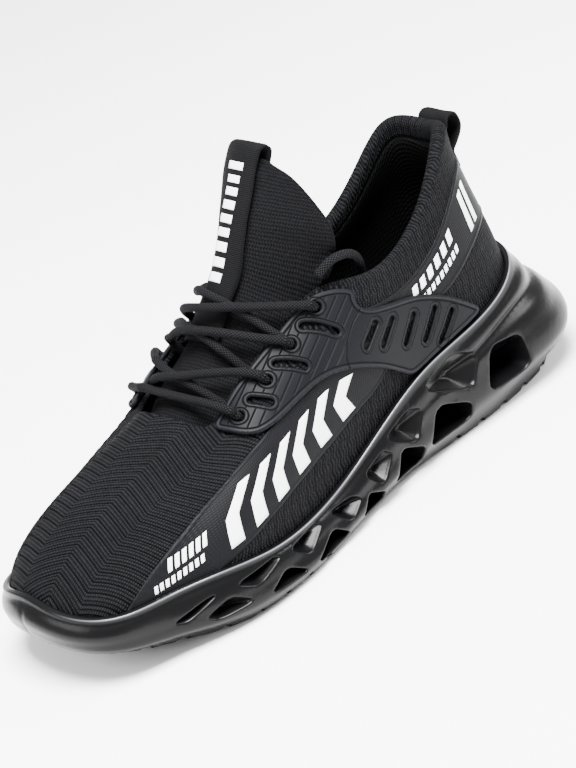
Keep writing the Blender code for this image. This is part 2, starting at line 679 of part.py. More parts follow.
def cage_sheet(outline, holes, pitch):
    """Flat triangles between the outline and the holes, in rows and shares, and the points they use."""
    loops = [outline] + holes
    low, high = outline.min(0), outline.max(0)
    step = np.array([pitch / 19e-3, pitch / 62e-3])
    grid = np.stack(np.meshgrid(np.arange(low[0], high[0], step[0]), np.arange(low[1], high[1], step[1])), -1)
    grid[1::2, :, 0] += step[0] / 2
    spare = grid.reshape(-1, 2)
    keep = in_outline(spare, outline)
    for loop in loops:
        away = ((spare[:, None] - loop[None]) / step)
        keep &= (np.linalg.norm(away, axis=2).min(1) > 0.55)
    for hole in holes:
        keep &= ~in_outline(spare, hole)
    points = np.vstack(loops + [spare[keep]])
    edges, start = [], 0
    for loop in loops:
        edges += [(start + i, start + (i + 1) % len(loop)) for i in range(len(loop))]
        start += len(loop)
    scaled = [Vector(p) for p in points / step]
    flat = geometry.delaunay_2d_cdt(scaled, edges, [], 0, 1e-7)
    spots = np.array([tuple(v) for v in flat[0]]) * step
    faces = np.array([f for f in flat[2] if len(f) == 3])
    middles = spots[faces].mean(1)
    wanted = in_outline(middles, outline)
    for hole in holes:
        wanted &= ~in_outline(middles, hole)
    return spots, faces[wanted]


def add_cage(name, side):
    """A moulded cage on one side: the eyestay with its eyelets and slots, and the smooth wing to the sole."""
    spots, faces = cage_sheet(cage_outline(), cage_holes(), CAGE_MESH)
    places = side * spots[:, 0]
    surface = last_point(places, spots[:, 1])
    normal = last_normal(places, spots[:, 1])
    count = len(spots)
    points = np.vstack([surface + CAGE_GAP * normal, surface + (CAGE_GAP + CAGE_THICKNESS) * normal])
    solid = [tuple(f) for f in faces] + [tuple(f[::-1] + count) for f in faces]
    used = {}
    for a, b, c in faces:
        for edge in ((a, b), (b, c), (c, a)):
            used[edge] = True
    for a, b in used:
        if (b, a) not in used:
            solid.append((b, a, a + count, b + count))
    return add_solid(name, points, solid, "cage")


def tongue_point(rows, across):
    """Points of the tongue's outer face: rows from its foot to its top, across from -1 inside to 1 outside."""
    rows, across = np.broadcast_arrays(np.asarray(rows, float), np.asarray(across, float))
    table = np.array(TONGUE_ROWS) / 100 * ([LENGTH, BALL_WIDTH, COLLAR_HEIGHT] * 3) - [HEEL_CENTRE, 0, 0] * 3
    at = open_spline(table, rows)
    middle, outer, inner = at[..., :3], at[..., 3:6], at[..., 6:9]
    t = across[..., None]
    edge = np.where(t > 0, outer, inner)
    sag = edge - middle
    spot = middle + t**2 * sag
    spot[..., 1] = middle[..., 1] + np.abs(across) * sag[..., 1]
    return spot


def tongue_normal(rows, across):
    """Outward unit normals of the tongue."""
    step = 0.05
    top = len(TONGUE_ROWS) - 1
    high, low = np.minimum(rows + step, top), np.maximum(rows - step, 0)
    up = tongue_point(high, across) - tongue_point(low, across)
    wide = tongue_point(rows, np.minimum(across + step, 1)) - tongue_point(rows, np.maximum(across - step, -1))
    return unit(np.cross(wide, up))


def tongue_depth(rows, across):
    """The tongue's thickness: thinner towards its edges and its foot, and bound thin at its top."""
    edge = 1 - smooth_step((np.abs(across) - 0.6) / 0.4)
    foot = smooth_step(rows / 3)
    full = TONGUE_THICKNESS * (0.45 + 0.55 * edge) * (0.6 + 0.4 * foot)
    bound = smooth_step((rows - len(TONGUE_ROWS) + 4) / 2.4)
    return full + bound * (TONGUE_TOP_THICKNESS - full)


def add_tongue():
    """The padded tongue, from under the vamp to its rounded top."""
    across = np.linspace(-1, 1, 11)
    row, t = np.meshgrid(TONGUE_STATIONS, across, indexing="ij")
    outer = tongue_point(row, t)
    inner = outer - tongue_depth(row, t)[..., None] * tongue_normal(row, t)
    loops = np.concatenate([outer, inner[:, ::-1]], 1)
    size = loops.shape[1]
    faces = ring_faces(len(TONGUE_STATIONS), size, closed_rings=False)
    half = len(across)
    for start in (0, (len(TONGUE_STATIONS) - 1) * size):
        for i in range(half - 1):
            faces.append((start + i, start + i + 1, start + size - i - 2, start + size - i - 1))
    return add_solid("tongue", loops.reshape(-1, 3), faces, "foam")


def strip_solid(name, outer, inner, look):
    """A webbing strip between two grids of points of the same shape."""
    rows, columns = outer.shape[:2]
    loops = np.concatenate([outer, inner[:, ::-1]], 1)
    size = 2 * columns
    faces = ring_faces(rows, size, closed_rings=False)
    for start in (0, (rows - 1) * size):
        for i in range(columns - 1):
            faces.append((start + i, start + i + 1, start + size - i - 2, start + size - i - 1))
    return add_solid(name, loops.reshape(-1, 3), faces, look)


def strip_faces(path, inward):
    """Both faces of a strip whose middle runs through the rows of a grid, with its thickness along normals."""
    along = np.gradient(path, axis=0)
    wide = np.gradient(path, axis=1)
    normal = unit(np.cross(wide, along)) * inward
    return path + WEBBING / 2 * normal, path - WEBBING / 2 * normal


def tab_front(rows, offsets, lift):
    """Points at a height above the tongue's middle band, at true distances from its middle."""
    rows, offsets = np.broadcast_arrays(np.asarray(rows, float), np.asarray(offsets, float))
    shaped = np.minimum(rows, len(TONGUE_ROWS) - 2.5)
    middle = tongue_point(rows, 0)
    sag = tongue_point(shaped, np.where(offsets > 0, 1, -1)) - tongue_point(shaped, 0)
    spot = middle + (offsets / sag[..., 1])[..., None]**2 * sag
    spot[..., 1] = middle[..., 1] + offsets
    return spot + np.asarray(lift)[..., None] * tongue_normal(rows, np.zeros(rows.shape))


def add_tongue_tab():
    """The webbing tab: up the tongue's middle, over its top in a loop and a little down its back."""
    offsets = TAB_SHIFT + np.linspace(-TONGUE_TAB_WIDTH / 2, TONGUE_TAB_WIDTH / 2, 5)
    top = len(TONGUE_ROWS) - 1
    near = GAP + TAB_SLACK + WEBBING / 2
    far = -TONGUE_TOP_THICKNESS - near
    front = tab_front(TONGUE_STATIONS[TONGUE_STATIONS > 2.7][:, None], offsets, near)
    back = tab_front(np.array([top, top - 0.55, top - 1.1])[:, None], offsets, np.array([[far], [far], [far - 0.8 * MM]]))
    rise = unit(tongue_point(top, 0) - tongue_point(top - 0.5, 0))
    middle, half = (front[-1] + back[0]) / 2, (front[-1] - back[0]) / 2
    size = np.linalg.norm(half, axis=1, keepdims=True)
    loop = [middle + np.cos(a) * half + (TAB_LOOP + np.sin(a) * size) * rise for a in np.radians((0, 50, 90, 130, 180))]
    path = np.concatenate([front, np.stack(loop), back])
    outer, inner = strip_faces(path, 1)
    return strip_solid("tongue_pull_tab", outer, inner, "webbing")


def add_heel_tab():
    """The webbing loop at the heel: off the upper's back, out and up, and back down to below the collar's edge."""
    places = np.linspace(-HEEL_TAB_WIDTH / 2, HEEL_TAB_WIDTH / 2, 5) / (0.12 * BALL_WIDTH)
    near = GAP + WEBBING / 2
    rows = [last_point(places, np.full(5, share)) + near * last_normal(places, np.full(5, share))
            for share in (0.72, 0.765, 0.81)]
    start = rows[-1]
    edge = last_point(places, np.full(5, TOP_SHARE))
    for out, part in ((2.8, 0.2), (6.2, 0.44), (8.3, 0.68), (8.7, 0.92)):
        spot = start + part * (edge - start)
        spot[:, 0] = edge[:, 0] + (start[:, 0] - edge[:, 0]) * (1 - part) - out * MM
        rows.append(spot)
    for out, rise in ((7.5, 2.4), (5.0, 3.3), (2.6, 2.2)):
        spot = edge + [-out * MM, 0, rise * MM]
        rows.append(spot)
    for share in (0.957, 0.945):
        spot = last_point(places, np.full(5, share))
        rows.append(spot + near * last_normal(places, np.full(5, share)))
    path = np.stack(rows)
    outer, inner = strip_faces(path, 1)
    return strip_solid("heel_pull_tab", outer, inner, "webbing")


def cage_top(place, share, lift):
    """A point above the cage's outer face."""
    return last_point(place, share) + (CAGE_GAP + CAGE_THICKNESS + lift) * last_normal(place, share)


def lace_supports():
    """Points and outward normals of what the lace lies on: the tongue, its tab, and the throat's edges."""
    rows = np.linspace(0, 8, 161)[:, None]
    across = np.linspace(-0.97, 0.97, 61)
    parts = [(tongue_point(rows, across), tongue_normal(rows, across))]
    offsets = TAB_SHIFT + np.linspace(-TONGUE_TAB_WIDTH / 2, TONGUE_TAB_WIDTH / 2, 27)
    tab = tab_front(np.linspace(2.7, 9, 161)[:, None], offsets, GAP + TAB_SLACK + WEBBING)
    parts.append((tab, unit(np.cross(np.gradient(tab, axis=1), np.gradient(tab, axis=0)))))
    places = np.linspace(5.6, 9.95, 120)[:, None]
    shares = np.linspace(0.7, 0.99, 24)
    for side in (1, -1):
        parts.append((cage_top(side * places, shares, 0), last_normal(side * places, shares)))
    return [np.vstack([part[k].reshape(-1, 3) for part in parts]) for k in (0, 1)]


def strand_path(strand, supports, below):
    """The middle line of a strand: laid across the tongue, then drawn straighter and lifted off its supports."""
    points, normals = supports
    clear = LACE_RADIUS + LACE_CLEARANCE
    first, *rows, last = strand
    across = np.array(LACE_ACROSS)
    keep = np.ones(5, bool)
    keep[0], keep[4] = first == 0, last == 0
    rows, across = np.array(rows)[keep], across[keep]
    lift = clear + (WEBBING + GAP + TAB_SLACK) * (np.abs(across) < 0.5)
    if below is not None:
        lift = lift + 2 * LACE_RADIUS * (np.abs(across) < 0.5)
    middle = tongue_point(rows, across) + lift[:, None] * tongue_normal(rows, across)
    path = [middle]
    if first:
        path.insert(0, eyelet_end(first, -1, clear))
    if last:
        path.append(eyelet_end(last, 1, clear)[::-1])
    path = smooth_path(np.vstack(path), 33)
    for _ in range(14):
        path[1:-1] += 0.3 * (path[:-2] + path[2:] - 2 * path[1:-1])
        near = np.linalg.norm(path[:, None] - points[None], axis=2).argmin(1)
        height = ((path - points[near]) * normals[near]).sum(1)
        path += np.maximum(clear - height, 0)[:, None] * normals[near]
        if below is not None:
            away = path[:, None] - below[None]
            apart = np.linalg.norm(away, axis=2)
            close = apart.argmin(1)
            spot = np.arange(len(path))
            push = np.maximum(2 * LACE_RADIUS - LACE_FUSE - apart[spot, close], 0)
            path += (push / apart[spot, close])[:, None] * away[spot, close]
            nearest = apart.min(1).argmin()
            slack = max(apart[nearest].min() - 2 * LACE_RADIUS + LACE_FUSE, 0)
            fade = np.exp(-((path - path[nearest])**2).sum(1) / (2 * LACE_RADIUS)**2)
            path -= slack * fade[:, None] * unit(away[nearest, close[nearest]])
    return path


def eyelet_end(row, side, clear):
    """A strand's last points: above its eyelet, and over the throat's edge a little nearer the toe."""
    share = np.interp(row, *zip(*EYELETS))
    return np.stack([cage_top(side * row, share, clear), cage_top(side * (row + LACE_LEAN), 0.975, clear)])


def add_cord(name, path, radius, collection):
    """A round cord along a path, as a curve with filled ends."""
    curve = bpy.data.curves.new(name, "CURVE")
    curve.dimensions = "3D"
    curve.bevel_depth = radius
    curve.bevel_resolution = 2
    curve.use_fill_caps = True
    spline = curve.splines.new("POLY")
    spline.points.add(len(path) - 1)
    for point, spot in zip(spline.points, path):
        point.co = (*spot, 1)
    curve.materials.append(material("braid"))
    item = bpy.data.objects.new(name, curve)
    bpy.data.collections[collection].objects.link(item)
    return item


def as_mesh(item):
    """The curve object turned into a mesh object."""
    bpy.ops.object.select_all(action="DESELECT")
    bpy.context.view_layer.objects.active = item
    item.select_set(True)
    bpy.ops.object.convert(target="MESH")
    return bpy.context.view_layer.objects.active


def smooth_path(points, count):
    """A smooth path through points chosen by hand."""
    points = np.asarray(points, float)
    return open_spline(points, np.linspace(0, len(points) - 1, count))


def strand_paths():
    """The middle lines of all strands, by node: a second strand of a node lies on the first."""
    supports = lace_supports()
    paths = {}
    for name, strands in LACE_STRANDS.items():
        paths[name] = []
        for strand in strands:
            below = paths[name][0] if paths[name] else None
            paths[name].append(strand_path(strand, supports, below))
    return paths


def add_laces():
    """The lace's bar and crossings, each fused into one solid."""
    for name, paths in strand_paths().items():
        made = []
        for number, path in enumerate(paths):
            label = name if number == 0 else name + "_over"
            collection = "safety_sneaker" if number == 0 else "cutters"
            made.append(as_mesh(add_cord(label, path[::3], LACE_RADIUS, collection)))
        if len(made) == 2:
            made[1].hide_render = True
            made[1].display_type = "WIRE"
            boolean(made[0], made[1], "UNION")


def lace_end_path():
    """The free end's middle line, in metres."""
    return smooth_path(np.array(LACE_END) * MM, 15)


def build():
    """Make the whole shoe."""
    clear_scene()
    add_upper()
    add_sole()
    add_insole()
    add_tongue()
    add_cage("cage_outer", 1)
    add_cage("cage_inner", -1)
    add_tongue_tab()
    add_heel_tab()
    add_laces()
    add_cord("lace_end", lace_end_path(), LACE_RADIUS, "safety_sneaker")


build()
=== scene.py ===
"""The looks of a knitted safety sneaker for the left foot: knit, film, cages, sole, laces, webbing and light.

The frame is the solids' own: +X runs from the heel to the toe, +Y to the outer side of the foot, +Z up. Every
surface is worked out from the same sizes and tables as the solids, only finer.
"""
import bpy
import bmesh
import numpy as np
from bpy.props import FloatProperty, FloatVectorProperty, IntProperty, PointerProperty
from bpy.types import Operator, Panel, PropertyGroup
from mathutils import Matrix, Vector, geometry


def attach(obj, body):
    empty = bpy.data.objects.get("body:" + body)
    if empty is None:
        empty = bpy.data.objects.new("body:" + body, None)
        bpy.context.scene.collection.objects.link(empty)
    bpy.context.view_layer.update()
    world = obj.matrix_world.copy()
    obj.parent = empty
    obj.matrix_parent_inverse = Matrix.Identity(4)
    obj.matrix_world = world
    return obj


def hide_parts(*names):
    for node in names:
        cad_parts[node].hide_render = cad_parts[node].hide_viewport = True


bl_info = {
    "name": "Knitted safety sneaker",
    "version": (1, 0, 0),
    "blender": (4, 5, 0),
    "location": "3D View > Sidebar > Sneaker",
    "description": "Dresses the solids of a knitted safety sneaker with knit, film, rubber, cord and webbing",
    "category": "Object",
}

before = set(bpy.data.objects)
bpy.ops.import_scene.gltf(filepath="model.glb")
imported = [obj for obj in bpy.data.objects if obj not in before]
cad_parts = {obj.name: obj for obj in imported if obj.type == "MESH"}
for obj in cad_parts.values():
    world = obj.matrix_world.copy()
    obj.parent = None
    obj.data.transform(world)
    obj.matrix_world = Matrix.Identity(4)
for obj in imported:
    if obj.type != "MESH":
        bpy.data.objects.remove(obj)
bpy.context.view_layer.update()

MM = 0.001
SIDES = (("outer", 1), ("inner", -1))

# The shoe's driving sizes, as in the solids
LENGTH = 306 * MM
BALL_WIDTH = 108 * MM
COLLAR_HEIGHT = 126 * MM
HEEL_CENTRE = 56 * MM
GAP = 0.3 * MM
WALL = 2.4 * MM
COLLAR_PAD = 7.0 * MM
TOP_SHARE = 0.965
LINING_SHARE = 0.9
EYELET_RADIUS = 2.3 * MM
CAGE_RIM_GAP = 1.2 * MM
CAGE_GAP = 1.1 * MM
CAGE_THICKNESS = 1.5 * MM
SLOT_WIDTH = 3.4 * MM
WING_SLOT_WIDTH = 3.0 * MM
HEEL_SEAT = 28 * MM
BALL_SEAT = 14 * MM
TOE_SPRING = 12 * MM
ARCH_LIFT = 3.0 * MM
LIP_WIDTH = 3.4 * MM
BACK_RIM = 57 * MM
TREAD_CHAMFER = 2.6 * MM
TREAD_GROOVE = 3.0 * MM
TREAD_GROOVE_WIDTH = 3.2 * MM
CHEVRON = 6 * MM
INSOLE_THICKNESS = 4.0 * MM
TONGUE_THICKNESS = 4.5 * MM
TONGUE_TOP_THICKNESS = 2.0 * MM
TONGUE_TAB_WIDTH = 24.7 * MM
TAB_LOOP = 3.5 * MM
TAB_SLACK = 1.2 * MM
TAB_SHIFT = -3.0 * MM
HEEL_TAB_WIDTH = 18 * MM
WEBBING = 1.6 * MM
LACE_RADIUS = 2.1 * MM
LACE_CLEARANCE = 0.4 * MM
LACE_FUSE = 1.2 * MM
LACE_LEAN = 0.55

# Half of the shoe's outline, from the heel's back to the toe's tip. The columns are, in per cent: the place of
# the upper's bottom edge along the length, its outer and inner breadth (of the ball width); the place of the
# upper's top edge along the length and its breadth on the outer side, the same two on the inner side, its
# height (of the collar height); the handles of the wall's curve, of the collar height: how far the low one
# stands out and up, and the high one out and down; and the share of the collar's padding.
UPPER_ROWS = (
    (8.5, 0.0, 0.0, 9.8, 0.0, 9.8, 0.0, 96.8, 6.3, 27.0, -4.0, 20.6, 100),
    (10.1, 16.7, 15.7, 11.1, 12.0, 10.9, -13.5, 98.6, 5.6, 27.0, -3.2, 20.6, 100),
    (15.0, 26.4, 25.9, 15.0, 21.3, 14.7, -23.1, 96.2, 4.8, 25.4, -1.6, 20.6, 100),
    (23.5, 30.6, 29.6, 21.9, 25.9, 21.9, -26.4, 82.6, 4.0, 23.8, 1.6, 19.0, 100),
    (34.0, 31.5, 29.6, 29.7, 28.2, 30.4, -27.8, 73.0, 3.2, 22.2, 3.2, 15.9, 90),
    (43.8, 34.3, 30.6, 36.9, 28.7, 38.2, -29.2, 74.2, 2.4, 23.8, 4.8, 15.9, 45),
    (52.9, 38.0, 32.4, 43.1, 21.3, 45.4, -28.7, 77.0, 2.4, 23.8, 10.3, 12.7, 8),
    (62.1, 43.5, 37.0, 49.0, 16.7, 51.5, -26.9, 71.4, 1.6, 22.2, 13.5, 9.5, 0),
    (70.3, 47.2, 40.7, 55.6, 15.7, 57.5, -26.9, 65.1, 1.6, 19.8, 15.9, 7.1, 0),
    (77.8, 46.3, 42.6, 61.1, 15.7, 62.7, -27.3, 58.7, 2.4, 20.4, 12.7, 6.3, 0),
    (85.6, 39.8, 39.8, 65.0, 14.4, 66.5, -25.9, 53.2, 3.6, 21.4, 12.7, 6.3, 0),
    (92.4, 34.3, 31.0, 66.8, 6.5, 67.6, -17.6, 56.3, 7.9, 24.2, 15.9, 7.1, 0),
    (96.2, 19.4, 19.0, 67.3, -0.9, 67.6, -10.2, 57.6, 11.1, 25.4, 19.0, 7.1, 0),
    (97.4, -0.5, 0.5, 67.5, -5.6, 67.5, -5.6, 57.9, 12.3, 25.8, 20.2, 6.7, 0),
)

# The sole's side at the same places, in per cent: the rim's height and the groove's (of the back rim), and how
# far the groove, the shoulder, the flare and the tread's edge stand out of the upper's bottom edge (of the
# ball width).
SOLE_ROWS = (
    (100, 74, 12.0, 19.0, 23.6, 11.6),
    (97, 72, 11.1, 17.2, 21.3, 9.7),
    (87, 70, 8.3, 12.6, 15.0, 6.0),
    (79, 62, 7.4, 8.8, 10.0, 5.1),
    (72, 52, 7.4, 7.9, 8.8, 4.6),
    (56, 40, 6.9, 7.6, 8.8, 5.1),
    (40, 29, 6.5, 7.4, 8.8, 6.5),
    (35, 26, 5.6, 6.9, 8.8, 6.9),
    (39, 29, 5.6, 6.9, 8.3, 6.0),
    (46, 33, 5.6, 6.9, 7.6, 4.0),
    (49, 37, 5.6, 6.5, 6.5, 0.0),
    (53, 42, 6.0, 6.0, 5.1, -3.7),
    (60, 48, 6.0, 6.0, 4.2, -4.6),
    (67, 54, 5.6, 5.6, 3.7, -4.6),
)

# The sole's lower openings, in per cent of the length along the shoe and of the back rim in height: the two
# upper corners and the two lower ones, each from the heel on. The last is a shallow pocket.
LOWER_OPENINGS = (
    (16.0, 53, 22.0, 58, 25.0, 26, 16.2, 25),
    (28.3, 29, 34.0, 43, 37.8, 16, 28.8, 16),
    (38.4, 22, 42.6, 33, 45.6, 10, 39.0, 10),
    (47.9, 14, 50.8, 22, 53.4, 8, 48.2, 8),
    (56.2, 8, 59.0, 20, 63.7, 10, 62.8, 7),
    (65.6, 10, 69.0, 22, 72.6, 15, 71.8, 13),
    (75.4, 18, 78.4, 29, 82.4, 23, 81.0, 18),
)

# The sole's upper recesses in the same columns.
UPPER_RECESSES = (
    (24.2, 60, 28.2, 71, 35.6, 60, 27.2, 37),
    (36.6, 49, 38.8, 55, 44.6, 46, 39.4, 29),
    (44.3, 35, 45.6, 41, 50.2, 34, 47.8, 20),
    (52.2, 23, 53.8, 29, 58.4, 30, 55.4, 15),
    (60.4, 28, 61.2, 31, 67.2, 30, 64.2, 18),
    (69.0, 31, 70.2, 34, 77.0, 34, 74.0, 25),
    (79.8, 35, 81.4, 35, 86.6, 30, 84.6, 27),
)

# Places of the grooves across the tread, in per cent of the length.
TREAD_GROOVES = (10.5, 15.5, 20.5, 25.5, 30.5, 62, 66.5, 71, 75.5, 80, 84.5, 88.5)

# The cage's outline in rows of the last and shares of the wall, from the front end of its top edge round by the
# heel. The wing's foot, where the share is 0, follows the sole's rim.
CAGE_OUTLINE = (
    (9.95, 0.93), (9.2, 0.75), (8.6, 0.645), (8.0, 0.59), (7.0, 0.565), (6.0, 0.53), (5.4, 0.49), (4.9, 0.42),
    (4.5, 0.32), (4.25, 0.24), (4.05, 0.0), (3.6, 0.0), (3.1, 0.0), (2.62, 0.0), (2.9, 0.33), (3.3, 0.49),
    (3.75, 0.63), (4.15, 0.715), (4.65, 0.76), (5.15, 0.775), (5.33, 0.83), (5.28, 0.93), (6.2, 0.945),
    (7.0, 0.945), (8.0, 0.945), (9.0, 0.94),
)

# The line between the ribbed eyestay and the smooth wing: its shares and its rows.
WING_LINE = ((0.42, 0.5, 0.56, 0.64, 0.72, 0.78, 0.95), (5.5, 5.6, 5.65, 5.6, 5.45, 5.28, 5.0))

# The eyelets' middles, from the top row to the toe, in rows of the last and shares of the wall.
EYELETS = ((6.15, 0.875), (7.05, 0.825), (7.9, 0.80), (8.85, 0.775))

# Both ends of each slot between the eyelets and of each slot in the wing, in the same two columns.
EYESTAY_SLOTS = (
    (6.6, 0.84, 5.82, 0.71),
    (7.55, 0.82, 6.78, 0.67),
    (8.42, 0.79, 7.9, 0.69),
)
WING_SLOTS = (
    (4.98, 0.68, 5.2, 0.575),
    (4.6, 0.655, 4.83, 0.535),
    (4.07, 0.575, 4.3, 0.45),
    (3.58, 0.485, 3.86, 0.365),
    (3.25, 0.375, 3.56, 0.275),
)

# The film along the side, in rows and shares: its lower edge, then its upper edge, from behind the wing down to
# the rim by the toe.
SIDE_FILM = (
    (4.6, 0.4, 4.6, 0.52), (5.0, 0.31, 5.0, 0.58), (5.5, 0.27, 5.6, 0.62), (6.0, 0.24, 6.2, 0.63),
    (6.5, 0.23, 6.9, 0.62), (7.0, 0.225, 7.5, 0.605), (7.5, 0.215, 8.05, 0.59), (8.0, 0.205, 8.6, 0.567),
    (8.5, 0.175, 9.2, 0.53), (8.85, 0.145, 9.75, 0.47), (9.05, 0.11, 10.2, 0.34), (9.2, 0.06, 10.75, 0.16),
    (9.25, 0.02, 11.1, 0.02),
)

# The film round the heel: rows, the lower edge's share and the upper edge's.
HEEL_FILM = (
    (0.0, 0.5, 0.8), (1.0, 0.495, 0.8), (1.75, 0.49, 0.797), (2.5, 0.485, 0.795), (3.2, 0.482, 0.79),
    (4.0, 0.52, 0.79), (4.6, 0.6, 0.785), (5.1, 0.68, 0.78),
)

# The tongue from its hidden foot to its top, in per cent of the length, the ball width and the collar height:
# its middle, its outer edge and its inner edge.
TONGUE_ROWS = (
    (69.0, -5.6, 50.0, 66.7, 11.1, 44.4, 68.0, -22.2, 45.2),
    (65.0, -5.6, 56.0, 62.1, 18.0, 49.0, 64.4, -28.7, 49.0),
    (61.1, -6.0, 62.3, 57.5, 19.4, 54.5, 60.5, -30.1, 55.0),
    (56.5, -5.6, 72.2, 52.3, 20.4, 59.5, 55.2, -30.1, 60.3),
    (53.8, -4.6, 81.3, 48.0, 19.0, 64.0, 50.3, -27.2, 65.0),
    (51.1, -3.7, 89.7, 43.2, 18.6, 70.0, 45.0, -25.5, 71.0),
    (48.9, -2.8, 98.4, 39.4, 22.6, 81.7, 40.2, -25.6, 82.5),
    (46.9, -1.9, 106.0, 38.7, 25.2, 92.9, 39.4, -27.8, 93.7),
    (44.9, -0.9, 113.5, 39.5, 22.6, 104.0, 40.0, -25.9, 104.8),
    (43.3, -0.5, 119.8, 40.7, 17.2, 114.7, 41.0, -19.9, 115.1),
    (42.6, 0.0, 122.6, 41.8, 9.3, 121.0, 42.0, -9.7, 121.0),
)
TONGUE_TOP = len(TONGUE_ROWS) - 1

# Lace strands from the inner side to the outer one: the eyelet's row on the last, or 0 where the strand goes
# under the eyestay, then the tongue's row at five places across it, then the eyelet's row or 0 again.
LACE_STRANDS = {
    "lace_bar": ((8.85, 1.35, 1.2, 1.15, 1.2, 1.28, 8.85),),
    "lace_cross_front": ((7.9, 2.1, 1.9, 1.78, 1.6, 1.42, 0), (0, 1.5, 1.5, 1.68, 2.0, 2.3, 7.9)),
    "lace_cross_middle": ((7.05, 3.3, 3.15, 3.0, 2.75, 2.5, 0), (0, 2.7, 2.8, 2.98, 3.18, 3.48, 7.05)),
    "lace_cross_top": ((6.15, 4.5, 4.3, 4.2, 4.05, 3.7, 0), (0, 3.6, 3.6, 3.75, 4.05, 4.6, 6.15)),
}
LACE_ACROSS = (-0.76, -0.4, 0, 0.4, 0.76)

# The white dashes on the tongue's tab: the tongue's rows from its foot where each begins and ends, and how far
# they reach to either side of the tab's middle, in millimetres. The first one is the broad one.
TAB_DASHES = ((8.85, 9.45, -2.6, 7.0), *((row, row + 0.32, -1.6, 6.2) for row in np.arange(8.25, 4.6, -0.52)))

# The free end of the lace: it comes out above the top eyelet and drops between tongue and collar.
LACE_END = (
    (74.4, 26.4, 102.8), (68.4, 28.0, 105.6), (61.9, 28.4, 105.4), (55.8, 27.0, 102.3), (51.8, 24.6, 97.0),
    (50.4, 22.2, 90.0), (50.6, 21.0, 81.0), (52.0, 20.4, 70.0),
)

# The eyestay's ribs: how many lie in a millimetre along the shoe, outward and up, counted from the origin.
CAGE_RIB_WAY = (-0.1267, 0.1692, -0.1629)

# The vamp's ridge: places along the shoe and heights, in millimetres.
VAMP_RIDGE = ((140, 160, 176, 195, 208, 224, 236, 245), (74, 70, 66, 61, 57, 50, 43, 32))
ZIGZAG_CORNER = 11.8 * MM
ZIGZAG_STEP = 18.2 * MM
ZIGZAG_START = 140 * MM

# The photograph's camera: where it stands, the directions of its picture's right and top, and its lens
CAMERA_PLACE = (0.60718, 0.85583, 0.54791)
CAMERA_RIGHT = (-0.73985, 0.60070, -0.30295)
CAMERA_TOP = (-0.49668, -0.18396, 0.84821)
CAMERA_LENS = 120.17
CAMERA_SHIFT = (0.0554, -0.0212)

# The studio: each light's place, the point it shines at, its width and its power; and the floor's half width
LIGHTS = {
    "key": ((0.2, 0.35, 1.5), (0.1, 0, 0.05), 0.8, 200),
    "back": ((-0.9, 0.5, 0.8), (0.0, 0, 0.05), 0.5, 18),
    "front": ((1.1, -0.1, 0.7), (0.15, 0, 0.05), 0.6, 12),
}
FLOOR_REACH = 6.0


class SneakerSizes(PropertyGroup):
    """Sizes of the shoe's finish."""
    rib_pitch: FloatProperty(name="Rib pitch", default=5.2 * MM, subtype="DISTANCE", unit="LENGTH",
                             description="Distance between the vamp's knitted ribs at the throat")
    rib_depth: FloatProperty(name="Rib depth", description="Depth of the grooves between the ribs",
                             default=0.5 * MM, subtype="DISTANCE", unit="LENGTH")
    film: FloatProperty(name="Film", description="How far the side film stands on the knit",
                        default=0.35 * MM, subtype="DISTANCE", unit="LENGTH")
    print_height: FloatProperty(name="Print", description="How far the white print stands on the film",
                                default=0.15 * MM, subtype="DISTANCE", unit="LENGTH")
    cage_height: FloatProperty(name="Cage", description="How far the cages stand on the knit",
                               default=1.9 * MM, subtype="DISTANCE", unit="LENGTH")
    lace_radius: FloatProperty(name="Lace radius", description="Half of the round lace's thickness",
                               default=1.95 * MM, subtype="DISTANCE", unit="LENGTH")
    wall_samples: IntProperty(name="Wall samples", description="Steps of the knit's mesh up the wall",
                              default=150)


class SneakerColours(PropertyGroup):
    """Colours of the shoe's finish."""
    knit: FloatVectorProperty(name="Knit", description="Colour of the knit", subtype="COLOR",
                              default=(0.0025, 0.0025, 0.003))
    film: FloatVectorProperty(name="Film", description="Colour of the film on the sides", subtype="COLOR",
                              default=(0.003, 0.003, 0.0037))
    cage: FloatVectorProperty(name="Cage", description="Colour of the moulded cages", subtype="COLOR",
                              default=(0.003, 0.003, 0.0039))
    rubber: FloatVectorProperty(name="Rubber", description="Colour of the sole", subtype="COLOR",
                                default=(0.0017, 0.0017, 0.0019))
    lining: FloatVectorProperty(name="Lining", description="Colour of the lining and insole", subtype="COLOR",
                                default=(0.0012, 0.0012, 0.0014))
    webbing: FloatVectorProperty(name="Webbing", description="Colour of the pull tabs", subtype="COLOR",
                                 default=(0.0026, 0.0026, 0.0031))
    braid: FloatVectorProperty(name="Lace", description="Colour of the lace", subtype="COLOR",
                               default=(0.0036, 0.0036, 0.0042))
    print_white: FloatVectorProperty(name="Print", description="Colour of the white print", subtype="COLOR",
                                     default=(0.86, 0.87, 0.88))
    floor: FloatVectorProperty(name="Floor", description="Colour of the floor", subtype="COLOR",
                               default=(0.97, 0.97, 0.97))


def sizes():
    """The scene's size settings."""
    return bpy.context.scene.sneaker_sizes


def colours():
    """The scene's colour settings."""
    return bpy.context.scene.sneaker_colours


